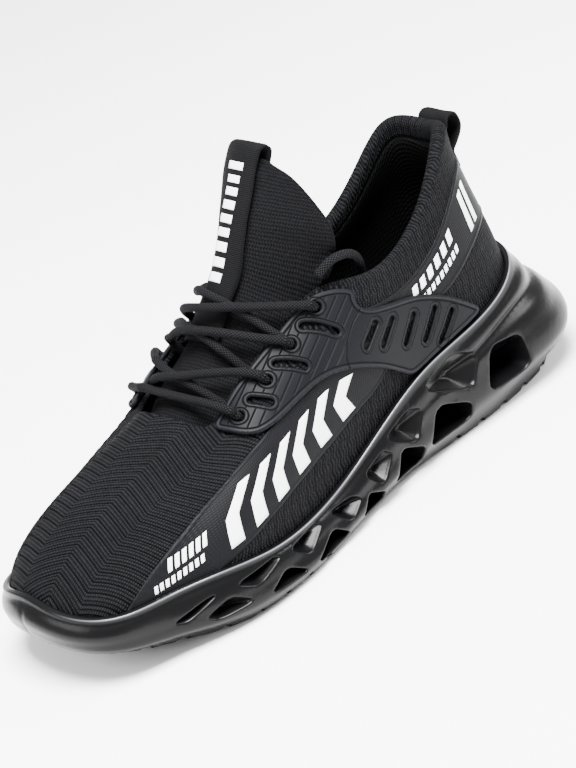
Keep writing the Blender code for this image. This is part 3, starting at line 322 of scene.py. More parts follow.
class Wire:
    """A socket of a material's node tree; arithmetic on it adds Math nodes."""

    def __init__(self, tree, socket):
        self.tree = tree
        self.socket = socket

    def math(self, operation, *others):
        """A Math node of this socket and other sockets or numbers."""
        node = self.tree.nodes.new("ShaderNodeMath")
        node.operation = operation
        for slot, value in enumerate((self, *others)):
            plug(self.tree, node.inputs[slot], value)
        return Wire(self.tree, node.outputs[0])

    def __add__(self, other):
        return self.math("ADD", other)

    def __radd__(self, other):
        return self.math("ADD", other)

    def __sub__(self, other):
        return self.math("SUBTRACT", other)

    def __rsub__(self, other):
        return self.math("MULTIPLY_ADD", -1.0, other)

    def __mul__(self, other):
        return self.math("MULTIPLY", other)

    def __rmul__(self, other):
        return self.math("MULTIPLY", other)

    def __truediv__(self, other):
        return self.math("DIVIDE", other)

    def wave(self):
        """The sine of the whole turns that this value counts, from 0 to 1: metres times 600 give 600 in a metre."""
        return (self * (2 * np.pi)).math("SINE") * 0.5 + 0.5

    def groove(self, width):
        """1 in a narrow line at each whole number and 0 beside it."""
        return clear(1 - self.math("PINGPONG", 0.5) / width)


def clear(value):
    """A value kept between 0 and 1."""
    return value.math("MAXIMUM", 0.0).math("MINIMUM", 1.0)


def plug(tree, socket, value):
    """Set a socket to a number or colour, or link a wire to it."""
    if isinstance(value, Wire):
        tree.links.new(value.socket, socket)
    elif hasattr(socket.default_value, "__len__") and len(socket.default_value) == 4 and len(value) == 3:
        socket.default_value = (*value, 1)
    else:
        socket.default_value = value


class Finish:
    """A Principled material that is wired up step by step."""

    def __init__(self, name, rough=0.5, **settings):
        self.material = bpy.data.materials.new(name)
        self.material.use_nodes = True
        self.tree = self.material.node_tree
        self.shader = self.tree.nodes["Principled BSDF"]
        self.shader.inputs["Roughness"].default_value = rough
        for socket, value in settings.items():
            plug(self.tree, self.shader.inputs[socket.replace("_", " ")], value)

    def node(self, kind, settings=None, output=0, **inputs):
        """Add a node of a kind, set its settings, then its sockets; the wire of one of its outputs."""
        made = self.tree.nodes.new(kind)
        for name, value in (settings or {}).items():
            setattr(made, name, value)
        for name, value in inputs.items():
            plug(self.tree, made.inputs[name.replace("_", " ")], value)
        return Wire(self.tree, made.outputs[output])

    def uv(self, name):
        """The two coordinates of a UV map as wires."""
        spot = self.node("ShaderNodeUVMap", {"uv_map": name})
        parts = self.node("ShaderNodeSeparateXYZ", Vector=spot)
        return parts, Wire(self.tree, parts.socket.node.outputs[1])

    def place(self):
        """The object coordinates as one wire."""
        return self.node("ShaderNodeTexCoord", output=3)

    def noise(self, scale, detail=3.0, vector=None):
        """Smooth noise from 0 to 1 on object coordinates."""
        return self.node("ShaderNodeTexNoise", Vector=vector or self.place(), Scale=scale, Detail=detail)

    def attribute(self, name):
        """A vertex attribute as a wire."""
        return self.node("ShaderNodeAttribute", {"attribute_name": name}, output=2)

    def mix(self, share, low, high):
        """A colour between two colours."""
        made = self.tree.nodes.new("ShaderNodeMix")
        made.data_type = "RGBA"
        plug(self.tree, made.inputs[0], share)
        plug(self.tree, made.inputs[6], low)
        plug(self.tree, made.inputs[7], high)
        return Wire(self.tree, made.outputs[2])

    def colour(self, value):
        """Set the base colour."""
        plug(self.tree, self.shader.inputs["Base Color"], value)

    def rough(self, value):
        """Set the roughness."""
        plug(self.tree, self.shader.inputs["Roughness"], value)

    def coat(self, value):
        """Set the weight of the clear coat."""
        plug(self.tree, self.shader.inputs["Coat Weight"], value)

    def bump(self, height, depth):
        """Raise the surface by a height from 0 to 1 times a depth in metres."""
        normal = self.node("ShaderNodeBump", Height=height, Distance=depth, Strength=1.0)
        plug(self.tree, self.shader.inputs["Normal"], normal)


def shade(colour, factor):
    """A colour made lighter or darker."""
    return tuple(min(1.0, part * factor) for part in colour)


def knit_finish():
    """Knit: zigzag ribs of loops on the vamp, fine upright ribs elsewhere, and a dark lining inside."""
    made = Finish("knit", rough=0.85, Specular_IOR_Level=0.04)
    base = colours().knit
    rib, along = made.uv("ribs")
    over, up = made.uv("weave")
    vamp = made.attribute("vamp")
    lining = made.attribute("lining")
    noise = made.noise(900.0, 2.0)
    drift = made.noise(60.0)
    seam = rib.groove(0.12)
    under = (rib * 3.0).groove(0.22)
    # The loops' rounded tops: raised by the bump, and painted brighter below as a highlight.
    dots = (rib * 3.0 + 0.75).wave() * (along * 700.0).wave()
    zig = seam * -0.8 + under * -0.5 + dots * 1.3 - 0.2
    wale = (over * 620.0 + (up * 170.0).wave() * 0.45).wave()
    course = (up * 800.0).wave()
    rows = (over * 205.0 + (up * 60.0).wave() * 0.3).groove(0.2)
    plain = wale * 0.8 + course * wale * 0.5 + noise * 0.4 - 0.75 - rows * 0.5
    loops = zig * vamp + plain * (1 - vamp)
    mesh = (over * 420.0).wave() * (up * 420.0).wave() - 0.5
    height = loops * (1 - lining) + mesh * lining
    # Painted light and shade: the loops' tops are painted lighter as a highlight, and the grooves and rows between
    # them darker as shade, over random tone.
    light = clear(0.34 + loops * 0.6 + (noise - 0.5) * 0.7 + (drift - 0.5) * 0.3)
    cloth = made.mix(light, shade(base, 0.2), shade(base, 4.2))
    made.colour(made.mix(lining, cloth, colours().lining))
    made.rough(0.72 + light * 0.16)
    made.bump(height * 0.5 + 0.5, 0.8 * MM)
    return made.material


def film_finish():
    """Thin dark film over the knit: smooth and satin, with the knit's grain showing faintly through."""
    made = Finish("film", rough=0.5, Specular_IOR_Level=0.05)
    base = colours().film
    over, up = made.uv("weave")
    grain = (over * 900.0).wave() * (up * 900.0).wave()
    drift = made.noise(90.0)
    made.colour(made.mix(clear(grain * 0.35 + drift * 0.7), shade(base, 0.75), shade(base, 1.3)))
    made.rough(0.42 + drift * 0.2)
    made.bump(grain * 0.7 + drift * 0.3, 0.12 * MM)
    return made.material


def cage_finish():
    """Moulded flexible plastic: satin and finely grained, with grooves at its ribs, its border and its holes that
    are painted dark as shade, and painted highlights beside the ribs and along the border.
    """
    made = Finish("cage", rough=0.46, Specular_IOR_Level=0.055)
    base = colours().cage
    grain = made.noise(2600.0, 2.0)
    drift = made.noise(45.0)
    rib = made.attribute("rib")
    ribs = rib.groove(0.1) * made.attribute("ribbed")
    # Painted highlight: a thin line just beside each rib's groove, where light would catch the rib's edge.
    rib_highlight = (rib - 0.17).groove(0.07) * made.attribute("ribbed")
    border, hole, wing = made.attribute("border"), made.attribute("hole"), made.attribute("wing")
    lines = clear(1 - (border - 2.3).math("ABSOLUTE") / 0.45) \
        + clear(1 - (hole - 1.7).math("ABSOLUTE") / 0.4) + clear(1 - wing.math("ABSOLUTE") / 0.5)
    # cut marks the grooves at ribs, border, holes and the wing's line: sunk by the bump, rougher, and painted
    # almost black as shade.
    cut = clear(ribs + lines)
    plain = made.mix(clear(drift * 0.8 + grain * 0.3), shade(base, 0.8), shade(base, 1.2))
    # Painted highlights: the lines beside the ribs and one along the border are painted 2.6 times brighter than the
    # plastic.
    lit = made.mix(clear(rib_highlight + clear(1 - (border - 1.3).math("ABSOLUTE") / 0.5)), plain, shade(base, 2.6))
    made.colour(made.mix(cut, lit, shade(base, 0.08)))
    made.rough(0.44 + drift * 0.12 + cut * 0.3)
    made.bump(grain * 0.06 + 1 - cut, 0.45 * MM)
    return made.material


def rubber_finish():
    """Moulded rubber: dark, semi-gloss, faint orange-peel; a coated line below the rim is painted bright as a
    highlight.
    """
    made = Finish("rubber", rough=0.26, Specular_IOR_Level=0.11, Coat_Roughness=0.15)
    base = colours().rubber
    peel = made.noise(420.0, 2.0)
    drift = made.noise(30.0)
    lip = made.attribute("lip")
    # Painted highlight: the thin line below the rim is painted sixty times brighter than the rubber.
    made.colour(made.mix(lip, made.mix(drift, shade(base, 0.8), shade(base, 1.25)), shade(base, 60.0)))
    made.rough(0.26 + drift * 0.04)
    made.coat(lip * 0.8)
    made.bump(peel, 0.06 * MM)
    return made.material


def braid_finish():
    """Round braided cord: two sets of strands that cross at a slant, with glints painted on the thread tops."""
    made = Finish("braid", rough=0.8, Specular_IOR_Level=0.05)
    base = colours().braid
    around, along = made.uv("cord")
    one = (around * 9.0 + along * 640.0).wave()
    two = (around * 9.0 - along * 640.0).wave()
    top = one.math("MAXIMUM", two)
    # Painted highlight: glints where the tops of both sets of strands meet, painted nine times brighter than the
    # cord.
    painted_glint = clear((one * two - 0.62) * 4.0)
    noise = made.noise(1500.0, 2.0)
    # Painted shade: the strands' tops are painted lighter and the gaps between them darker, over random tone.
    light = clear(top * 0.7 + (noise - 0.5) * 0.6 - 0.2)
    cord = made.mix(light, shade(base, 0.2), shade(base, 1.6))
    made.colour(made.mix(painted_glint * 0.5, cord, shade(base, 9.0)))
    made.bump(top, 0.3 * MM)
    return made.material


def webbing_finish():
    """Woven webbing: fine ribs across the strip and a closed edge."""
    made = Finish("webbing", rough=0.8, Specular_IOR_Level=0.05)
    base = colours().webbing
    over, along = made.uv("strip")
    weft = (along * 1250.0).wave()
    warp = (over * 900.0 + (along * 625.0).wave() * 0.5).wave()
    noise = made.noise(1200.0, 2.0)
    # Painted shade: the ribs' tops are painted lighter and the gaps between them darker, over random tone.
    light = clear(weft * 0.6 + warp * 0.3 + (noise - 0.5) * 0.5)
    made.colour(made.mix(light, shade(base, 0.45), shade(base, 1.6)))
    made.bump(weft * 0.7 + warp * 0.3, 0.16 * MM)
    return made.material


def tongue_finish():
    """The tongue's spacer knit: courses across it, with small holes between the loops painted dark as shade."""
    made = Finish("tongue_knit", rough=0.85, Specular_IOR_Level=0.04)
    base = colours().knit
    over, along = made.uv("strip")
    course = (along * 620.0 + (over * 90.0).wave() * 0.12).wave()
    loop = (over * 800.0 + (along * 310.0).wave() * 0.5).wave()
    noise = made.noise(1100.0, 2.0)
    # Painted shade: the holes between the loops are painted dark and the loops' tops lighter, over random tone.
    light = clear(course * 0.35 + loop * 0.5 + (noise - 0.5) * 0.9)
    made.colour(made.mix(light, shade(base, 0.25), shade(base, 2.4)))
    made.bump(course * 0.5 + loop * 0.5, 0.3 * MM)
    return made.material


def binding_finish():
    """The tongue's bound edge: a narrow knitted tape with fine ribs along it."""
    made = Finish("edge_binding", rough=0.85, Specular_IOR_Level=0.05)
    base = colours().webbing
    around, along = made.uv("cord")
    loops = (around * 6.0).wave() * (along * 900.0).wave()
    # Painted shade: the loops' tops are painted lighter and the gaps between them darker.
    made.colour(made.mix(loops, shade(base, 0.4), shade(base, 1.8)))
    made.bump(loops, 0.15 * MM)
    return made.material


def print_finish():
    """Matt white print with a fine grain."""
    made = Finish("white_print", rough=0.55)
    grain = made.noise(1500.0, 2.0)
    made.colour(made.mix(grain, shade(colours().print_white, 0.93), colours().print_white))
    made.bump(grain, 0.04 * MM)
    return made.material


def lining_finish():
    """The insole's dark cloth."""
    made = Finish("lining", rough=0.9, Specular_IOR_Level=0.03)
    base = colours().lining
    grain = made.noise(900.0, 2.0)
    made.colour(made.mix(grain, shade(base, 0.6), shade(base, 2.0)))
    made.bump(grain, 0.2 * MM)
    return made.material


def floor_finish():
    """The pale floor."""
    made = Finish("floor", rough=0.6)
    spots = made.noise(6.0)
    made.colour(made.mix(spots, shade(colours().floor, 0.985), colours().floor))
    return made.material


def finish(name):
    """The material of a name, made at its first use."""
    if name not in bpy.data.materials or not bpy.data.materials[name].get("dressed"):
        makers = {"knit": knit_finish, "film": film_finish, "cage": cage_finish, "rubber": rubber_finish,
                  "braid": braid_finish, "webbing": webbing_finish, "tongue_knit": tongue_finish,
                  "white_print": print_finish, "lining": lining_finish, "floor": floor_finish,
                  "edge_binding": binding_finish}
        old = bpy.data.materials.get(name)
        if old:
            old.name = name + "_plain"
        made = makers[name]()
        made["dressed"] = True
    return bpy.data.materials[name]


def unit(vectors):
    """Vectors of length one."""
    return vectors / np.maximum(np.linalg.norm(vectors, axis=-1, keepdims=True), 1e-12)


def smooth_step(value):
    """Rises smoothly from 0 to 1."""
    value = np.clip(value, 0, 1)
    return value * value * (3 - 2 * value)


def bell(value, width):
    """A soft hump of height 1 and the given half width."""
    return np.exp(-(value / width)**2)


def lengths_along(path):
    """How far each point of a path is from its start, measured along it."""
    return np.concatenate([[0], np.cumsum(np.linalg.norm(np.diff(path, axis=0), axis=1))])


def lengths_around(loops):
    """How far each point of each closed loop is from the loop's start, and the loop's whole girth last."""
    sides = np.linalg.norm(np.diff(loops, axis=1, append=loops[:, :1]), axis=2)
    return np.concatenate([np.zeros((len(loops), 1)), np.cumsum(sides, 1)], 1)


def between(a, b, c, d, t):
    """A cubic from b to c, at a share of the way, whose slopes are those of the neighbours a and d."""
    return b + 0.5 * t * (c - a + t * (2 * a - 5 * b + 4 * c - d + t * (3 * (b - c) + d - a)))


def periodic_spline(rows, places):
    """A smooth closed curve through the rows, read at the places: a periodic cubic in each column."""
    rows = np.asarray(rows, float)
    count = len(rows)
    matrix = 4 * np.eye(count) + np.roll(np.eye(count), 1, 0) + np.roll(np.eye(count), -1, 0)
    after, before = np.roll(rows, -1, 0), np.roll(rows, 1, 0)
    slope = np.linalg.solve(matrix, 3 * (after - before))
    places = np.mod(np.asarray(places, float), count)
    row = np.minimum(places.astype(int), count - 1)
    t = (places - row)[..., None]
    p0, p1, m0, m1 = rows[row], after[row], slope[row], np.roll(slope, -1, 0)[row]
    return p0 + t * m0 + t**2 * (3 * (p1 - p0) - 2 * m0 - m1) + t**3 * (2 * (p0 - p1) + m0 + m1)


def open_spline(rows, places):
    """A smooth open curve through the rows, read at the places: each column is a cubic through four rows."""
    rows = np.asarray(rows, float)
    ends = np.vstack([2 * rows[:1] - rows[1:2], rows, 2 * rows[-1:] - rows[-2:-1]])
    places = np.clip(np.asarray(places, float), 0, len(rows) - 1)
    row = np.minimum(places.astype(int), len(rows) - 2)
    t = (places - row)[..., None]
    return between(*(ends[row + k] for k in range(4)), t)


def last_ring():
    """The closed ring of the upper's rows: bottom edge, top edge, handles and padding, in metres."""
    rows = np.array(UPPER_ROWS) / 100
    outer = rows[:, [0, 1, 3, 4, 7, 8, 9, 10, 11, 12]]
    inner = rows[-2:0:-1][:, [0, 2, 5, 6, 7, 8, 9, 10, 11, 12]]
    inner[:, 1] *= -1
    ring = np.vstack([outer, inner]) * ([LENGTH, BALL_WIDTH, LENGTH, BALL_WIDTH] + [COLLAR_HEIGHT] * 5 + [1])
    ring[:, [0, 2]] -= HEEL_CENTRE
    return ring


RING = last_ring()
RING_ROWS = len(RING)
HALF_RING = RING_ROWS // 2


def seat_height(x):
    """Height of the footbed: high under the heel, low under the ball, rising a little at the toe."""
    return np.interp(
        (x + HEEL_CENTRE) / LENGTH,
        (0.0, 0.16, 0.3, 0.45, 0.6, 0.72, 0.85, 0.97),
        (1.04 * HEEL_SEAT, HEEL_SEAT, 0.9 * HEEL_SEAT, 0.72 * HEEL_SEAT, BALL_SEAT + 2 * MM, BALL_SEAT,
         BALL_SEAT + 0.17 * TOE_SPRING, BALL_SEAT + 0.5 * TOE_SPRING),
    )


def floor_height(x):
    """Height of the tread: on the floor at heel and ball, raised at the heel's back, the arch and the toe."""
    return np.interp(
        (x + HEEL_CENTRE) / LENGTH,
        (0.0, 0.03, 0.065, 0.31, 0.42, 0.55, 0.65, 0.76, 0.82, 0.88, 0.94, 1.0),
        (0.5 * TOE_SPRING, 0.2 * TOE_SPRING, 0, 0, ARCH_LIFT, 0.5 * ARCH_LIFT, 0, 0, 0.12 * TOE_SPRING,
         0.4 * TOE_SPRING, 0.75 * TOE_SPRING, TOE_SPRING),
    )


def ring_outward(places, column):
    """Outward direction in plan of the ring's bottom edge (column 0) or top edge (column 2)."""
    step = 0.05
    ahead, back = periodic_spline(RING, places + step), periodic_spline(RING, places - step)
    along = (ahead - back)[..., column:column + 2]
    return unit(np.stack([-along[..., 1], along[..., 0], np.zeros(along.shape[:-1])], -1))


def last_point(places, shares):
    """The upper's outer form at rows and shares: a cubic from bottom edge to top edge by two handles."""
    places, shares = np.broadcast_arrays(np.asarray(places, float), np.asarray(shares, float))
    at = periodic_spline(RING, places)
    up = np.array([0, 0, 1])
    low = np.stack([at[..., 0], at[..., 1], seat_height(at[..., 0]) + GAP], -1)
    high = at[..., 2:5]
    low_handle = low + ring_outward(places, 0) * at[..., 5:6] + up * at[..., 6:7]
    high_handle = high + ring_outward(places, 2) * at[..., 7:8] - up * at[..., 8:9]
    v = shares[..., None]
    return (1 - v)**3 * low + 3 * v * (1 - v)**2 * low_handle + 3 * v**2 * (1 - v) * high_handle + v**3 * high


def last_slopes(places, shares):
    """How the form's points move for one row and for one whole share."""
    places, shares = np.broadcast_arrays(np.asarray(places, float), np.asarray(shares, float))
    step = 0.02
    along = (last_point(places + step, shares) - last_point(places - step, shares)) / (2 * step)
    up = (last_point(places, shares + step) - last_point(places, shares - step)) / (2 * step)
    return along, up


def last_normal(places, shares):
    """Outward unit normals of the form."""
    along, up = last_slopes(places, shares)
    return unit(np.cross(up, along))


def on_last(places, shares, lift):
    """Points that stand off the form by a lift along its normal."""
    return last_point(places, shares) + np.asarray(lift)[..., None] * last_normal(places, shares)


def wall_thickness(places, shares):
    """The upper's wall: thin, and padded towards the collar's edge."""
    pad = periodic_spline(RING, places)[..., 9]
    return WALL + (COLLAR_PAD - WALL) * np.clip(pad, 0, 1) * smooth_step((shares - 0.55) / 0.33)


def add_piece(name, points, faces, look, maps=None, values=None):
    """A mesh object at the origin from points and faces, with UV maps by corner and attributes by point."""
    mesh = bpy.data.meshes.new(name)
    mesh.from_pydata(np.asarray(points, float).reshape(-1, 3).tolist(), [], faces)
    for label, corners in (maps or {}).items():
        layer = mesh.uv_layers.new(name=label)
        layer.data.foreach_set("uv", np.asarray(corners, float).ravel())
    for label, numbers in (values or {}).items():
        kept = mesh.attributes.new(label, "FLOAT", "POINT")
        kept.data.foreach_set("value", np.asarray(numbers, float).ravel())
    mesh.materials.append(finish(look))
    mesh.shade_smooth()
    item = bpy.data.objects.new(name, mesh)
    bpy.context.scene.collection.objects.link(item)
    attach(item, "root")
    return item


def grid_corners(rows, columns, around=False, along=False):
    """The corners of a grid's quads, first unwrapped and then as point numbers; each way may be closed."""
    a, b = np.meshgrid(np.arange(rows if around else rows - 1), np.arange(columns if along else columns - 1),
                       indexing="ij")
    spread = np.stack([np.stack([a, b], -1), np.stack([a + 1, b], -1), np.stack([a + 1, b + 1], -1),
                       np.stack([a, b + 1], -1)], 2).reshape(-1, 4, 2)
    numbers = (spread[..., 0] % rows) * columns + spread[..., 1] % columns
    return spread, numbers


def repeated(faces, count):
    """The faces of many like pieces in one mesh: the first piece's, and the same counted on for each."""
    size = faces.max() + 1
    return (faces[None] + size * np.arange(count)[:, None, None]).reshape(-1, 4).tolist()


def add_grid(name, points, look, maps=None, values=None, around=False, along=False):
    """A grid of quads; each map is an array one longer than the grid in each closed direction."""
    rows, columns = points.shape[:2]
    spread, numbers = grid_corners(rows, columns, around, along)
    corners = {label: table[spread[..., 0], spread[..., 1]] for label, table in (maps or {}).items()}
    return add_piece(name, points, numbers.tolist(), look, corners, values)


def thicken(item, thickness):
    """Give a sheet a thickness below its face."""
    step = item.modifiers.new("thickness", "SOLIDIFY")
    step.thickness = thickness
    step.offset = -1
    return item


def add_faces(item, faces):
    """Close a piece's openings with faces, each given by its points' numbers."""
    made = bmesh.new()
    made.from_mesh(item.data)
    made.verts.ensure_lookup_table()
    for face in faces:
        made.faces.new([made.verts[k] for k in face])
    made.to_mesh(item.data)
    made.free()


def strip_ends(rows, columns):
    """The quads that close both ends of a flat tube: its loops run across its face and back under it."""
    size = 2 * columns
    return [[start + k for k in (i, i + 1, size - i - 2, size - i - 1)]
            for start in (0, (rows - 1) * size) for i in range(columns - 1)]


def outward(item):
    """Turn a closed mesh's faces outward and join its doubled points."""
    made = bmesh.new()
    made.from_mesh(item.data)
    bmesh.ops.remove_doubles(made, verts=made.verts, dist=0.005 * MM)
    bmesh.ops.recalc_face_normals(made, faces=made.faces)
    made.to_mesh(item.data)
    made.free()
    return item


def add_tube(name, path, radius, look, sides=14):
    """A round tube along a path with rounded ends: rings about the path's own turning frame."""
    path = np.asarray(path, float)
    way = unit(np.gradient(path, axis=0))
    side = np.zeros_like(path)
    guide = unit(np.cross(way[0], (0.3, 0.2, 1.0)))
    for number, forward in enumerate(way):
        guide = unit(guide - (guide @ forward) * forward)
        side[number] = guide
    up = np.cross(way, side)
    caps = np.array([0.02, 0.5, 0.86, 1.0])
    ends = np.sqrt(1 - (1 - caps)**2)
    scale = np.concatenate([ends, np.ones(len(path) - 2), ends[::-1]])
    centre = np.concatenate([path[0] - radius * (1 - caps[:, None]) * way[0], path[1:-1],
                             path[-1] + radius * (1 - caps[::-1, None]) * way[-1]])
    side = np.concatenate([np.repeat(side[:1], 4, 0), side[1:-1], np.repeat(side[-1:], 4, 0)])
    up = np.concatenate([np.repeat(up[:1], 4, 0), up[1:-1], np.repeat(up[-1:], 4, 0)])
    turn = np.arange(sides) / sides * 2 * np.pi
    ring = np.cos(turn)[:, None] * side[:, None] + np.sin(turn)[:, None] * up[:, None]
    points = centre[:, None] + radius * scale[:, None, None] * ring
    around = np.arange(sides + 1) / sides
    maps = {"cord": np.stack(np.meshgrid(lengths_along(centre), around, indexing="ij")[::-1], -1)}
    item = add_grid(name, points, look, maps, along=True)
    last = (len(centre) - 1) * sides
    add_faces(item, [range(sides), range(last + sides - 1, last - 1, -1)])
    return outward(item)


def mirrored(places):
    """The row counted from the heel on either side: the same for both sides of the shoe."""
    places = np.mod(places, RING_ROWS)
    return np.minimum(places, RING_ROWS - places)


def rib_places(points):
    """Where points lie in the vamp's knit: the count of ribs along the shoe, and metres along a rib.

    Each rib runs across the shoe and zigzags: its line is the place along the shoe less a slanting triangle
    wave of the girth, which is the sideways place plus a share of the drop below the vamp's ridge. The ribs
    come closer together towards the toe.
    """
    x, y, z = points[..., 0], points[..., 1], points[..., 2]
    ridge = np.interp(x, np.array(VAMP_RIDGE[0]) * MM, np.array(VAMP_RIDGE[1]) * MM)
    drop = np.maximum(ridge - z, 0) * np.sign(y)
    girth = y + 0.35 * drop
    wave = ZIGZAG_STEP / 2 - np.abs(np.mod(girth - ZIGZAG_CORNER, 2 * ZIGZAG_STEP) - ZIGZAG_STEP)
    line = x + 0.185 * girth - 0.375 * wave - ZIGZAG_START
    return line * (1 + 1.5 * line) / sizes().rib_pitch, 1.08 * (y + 0.8 * drop)


def rib_relief(count):
    """How deep the vamp's surface lies for a count of ribs: a groove at each whole one and two fine between."""
    part = np.abs(np.mod(count + 0.5, 1) - 0.5)
    third = np.abs(np.mod(3 * count + 0.5, 1) - 0.5)
    return bell(part, 0.16) + 0.3 * bell(third, 0.3)


def vamp_share(places, shares):
    """1 where the upper has the vamp's zigzag knit: in front of the eyestay and above the side film."""
    row = mirrored(places)
    film = np.interp(row, (4.75, 8, 9.5, 10.3, 10.95), (0.55, 0.4, 0.3, 0.2, -0.2))
    return smooth_step((row - 5.2) / 0.4) * smooth_step((shares - film) / 0.03)


def add_upper():
    """The knitted upper: outer face with its ribs, rounded collar edge and lining, as one closed wall."""
    fine, coarse = 24, 10
    rows = np.concatenate([np.arange(0, 7, 1 / coarse), np.arange(7, 19, 1 / fine),
                           np.arange(19, RING_ROWS, 1 / coarse)])
    outer = np.linspace(0, TOP_SHARE, sizes().wall_samples)
    inner = np.concatenate([np.linspace(TOP_SHARE, 0.84, 16), np.linspace(0.84, 0, 18)[1:]])
    place = rows[:, None]
    face = last_point(place, outer)
    normal = last_normal(place, outer)
    count, along = rib_places(face)
    vamp = vamp_share(place, outer)
    depth = sizes().rib_depth * rib_relief(count) * vamp
    face = face - depth[..., None] * normal
    stitch = 0.9 * MM * bell(inner - LINING_SHARE, 0.008)
    lining = on_last(place, inner, stitch - wall_thickness(place, inner))
    near, far = face[:, -1], lining[:, 0]
    middle, half = (near + far) / 2, (near - far) / 2
    rise = unit(last_slopes(rows, np.full(len(rows), TOP_SHARE))[1])
    size = np.linalg.norm(half, axis=1, keepdims=True)
    turns = np.radians(np.linspace(0, 180, 12)[1:-1])
    rim = np.stack([middle + np.cos(a) * half + np.sin(a) * size * rise for a in turns], 1)
    loops = np.concatenate([face, rim, lining], 1)
    up = lengths_around(loops)
    over = lengths_along(last_point(np.append(rows, RING_ROWS), 0.5))
    weave = np.stack(np.broadcast_arrays(over[:, None], np.vstack([up, up[:1]])), -1)
    ribs = np.zeros((len(rows) + 1, loops.shape[1] + 1, 2))
    ribs[:-1, :len(outer), 0] = count
    ribs[:-1, :len(outer), 1] = along
    ribs[-1] = ribs[0]
    zeros = np.zeros((len(rows), loops.shape[1]))
    knit, lined = zeros.copy(), zeros.copy()
    knit[:, :len(outer)] = vamp
    lined[:, len(outer) + len(turns):] = inner < LINING_SHARE
    item = add_grid("upper_knit", loops, "knit", {"ribs": ribs, "weave": weave},
                    {"vamp": knit, "lining": lined}, around=True, along=True)
    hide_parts("upper")


def film_sheet(name, places, shares):
    """A film on the upper between two edges: it is raised, with a thin welt beside each edge."""
    across = np.linspace(0, 1, places.shape[1])
    low, high = (last_point(places[:, end], shares[:, end]) for end in (0, -1))
    width = np.linalg.norm(low - high, axis=1)
    edge = np.minimum(across, 1 - across) * width[:, None]
    lift = sizes().film * smooth_step(edge / (0.5 * MM)) + 0.22 * MM * bell(edge - 1.5 * MM, 0.5 * MM)
    points = on_last(places, shares, lift)
    over = lengths_along(points[:, 0])[:, None]
    maps = {"weave": np.stack(np.broadcast_arrays(over, across * width[:, None]), -1)}
    return add_grid(name, points, "film", maps)


def add_film():
    """The side films and the film round the heel."""
    rows = open_spline(SIDE_FILM, np.linspace(0, len(SIDE_FILM) - 1, 180))
    heel = open_spline(HEEL_FILM, np.linspace(0, len(HEEL_FILM) - 1, 90))
    heel = np.vstack([heel[:0:-1] * (-1, 1, 1), heel])
    edge = np.linspace(0, 1, 61)
    places = rows[:, :1] + (rows[:, 2:3] - rows[:, :1]) * edge
    shares = rows[:, 1:2] + (rows[:, 3:] - rows[:, 1:2]) * edge
    made = [film_sheet("side_film_" + label, side * places, shares) for label, side in SIDES]
    places = np.repeat(heel[:, :1], len(edge), 1)
    shares = heel[:, 1:2] + (heel[:, 2:] - heel[:, 1:2]) * edge
    made.append(film_sheet("heel_film", places, shares))
    for item in made:
        thicken(item, 0.3 * MM)
        outward(item)


def print_block(corners, steps, lift):
    """A grid over a four-cornered block in rows and shares, lifted off the form."""
    a, b = np.meshgrid(np.linspace(0, 1, steps), np.linspace(0, 1, steps), indexing="ij")
    c = np.array(corners, float)
    spot = ((1 - a) * (1 - b))[..., None] * c[0] + (a * (1 - b))[..., None] * c[1] \
        + (a * b)[..., None] * c[2] + ((1 - a) * b)[..., None] * c[3]
    return on_last(spot[..., 0], spot[..., 1], np.full(a.shape, lift))


def add_blocks(name, blocks, steps=7):
    """Many small print blocks joined in one sheet."""
    lift = sizes().film + sizes().print_height
    points = np.stack([print_block(corners, steps, lift) for corners in blocks])
    item = add_piece(name, points, repeated(grid_corners(steps, steps)[1], len(blocks)), "white_print")
    thicken(item, 0.2 * MM)
    return item


def bar_blocks(first, last, count, low, high, fill, lean):
    """A row of leaning bars between two rows, low and high edges given as functions of the row."""
    blocks = []
    for start in np.linspace(first, last, count, endpoint=False):
        end = start + fill * (last - first) / count
        blocks.append(((start, low(start)), (end, low(end)),
                       (end + lean, high(end)), (start + lean, high(start))))
    return blocks


def add_prints():
    """Plain white chevrons, bars and dashes on the films of both sides."""
    low = lambda r: np.interp(r, (5.3, 6, 7, 8, 9.2), (0.315, 0.275, 0.262, 0.24, 0.19))
    high = lambda r: np.interp(r, (5.3, 6, 7, 8, 9.2), (0.47, 0.475, 0.48, 0.485, 0.47))
    blocks = []
    for start in np.linspace(5.5, 9.1, 6, endpoint=False):
        end, bend = start + 0.3, 0.2
        middle = (low(start) + high(start)) / 2
        blocks.append(((start, low(start)), (end, low(end)), (end + bend, middle), (start + bend, middle)))
        blocks.append(((start + bend, middle), (end + bend, middle), (end, high(end)), (start, high(start))))
    near = lambda r: np.interp(r, (9.3, 10.4), (0.2, 0.13))
    blocks += bar_blocks(9.35, 10.1, 6, lambda r: near(r) + 0.09, lambda r: near(r) + 0.16, 0.62, 0.08)
    blocks += bar_blocks(9.35, 10.3, 9, lambda r: near(r) + 0.02, lambda r: near(r) + 0.06, 0.6, 0.04)
    blocks += bar_blocks(2.75, 4.05, 6, lambda r: 0.655, lambda r: 0.725, 0.6, 0.0)
    blocks += bar_blocks(2.7, 3.8, 9, lambda r: 0.575, lambda r: 0.615, 0.6, 0.0)
    blocks += bar_blocks(1.78, 2.3, 2, lambda r: 0.54, lambda r: 0.735, 0.6, 0.0)
    for label, side in SIDES:
        turned = [[(side * r, v) for r, v in corners[::side]] for corners in blocks]
        outward(add_blocks("white_bars_" + label, turned))


def rounded(corners, times=3, share=0.25):
    """A closed outline with its corners cut off again and again until they are round."""
    corners = np.asarray(corners, float)
    for _ in range(times):
        before, after = np.roll(corners, 1, 0), np.roll(corners, -1, 0)
        near, far = corners + share * (before - corners), corners + share * (after - corners)
        corners = np.stack([near, far], 1).reshape(-1, 2)
    return corners


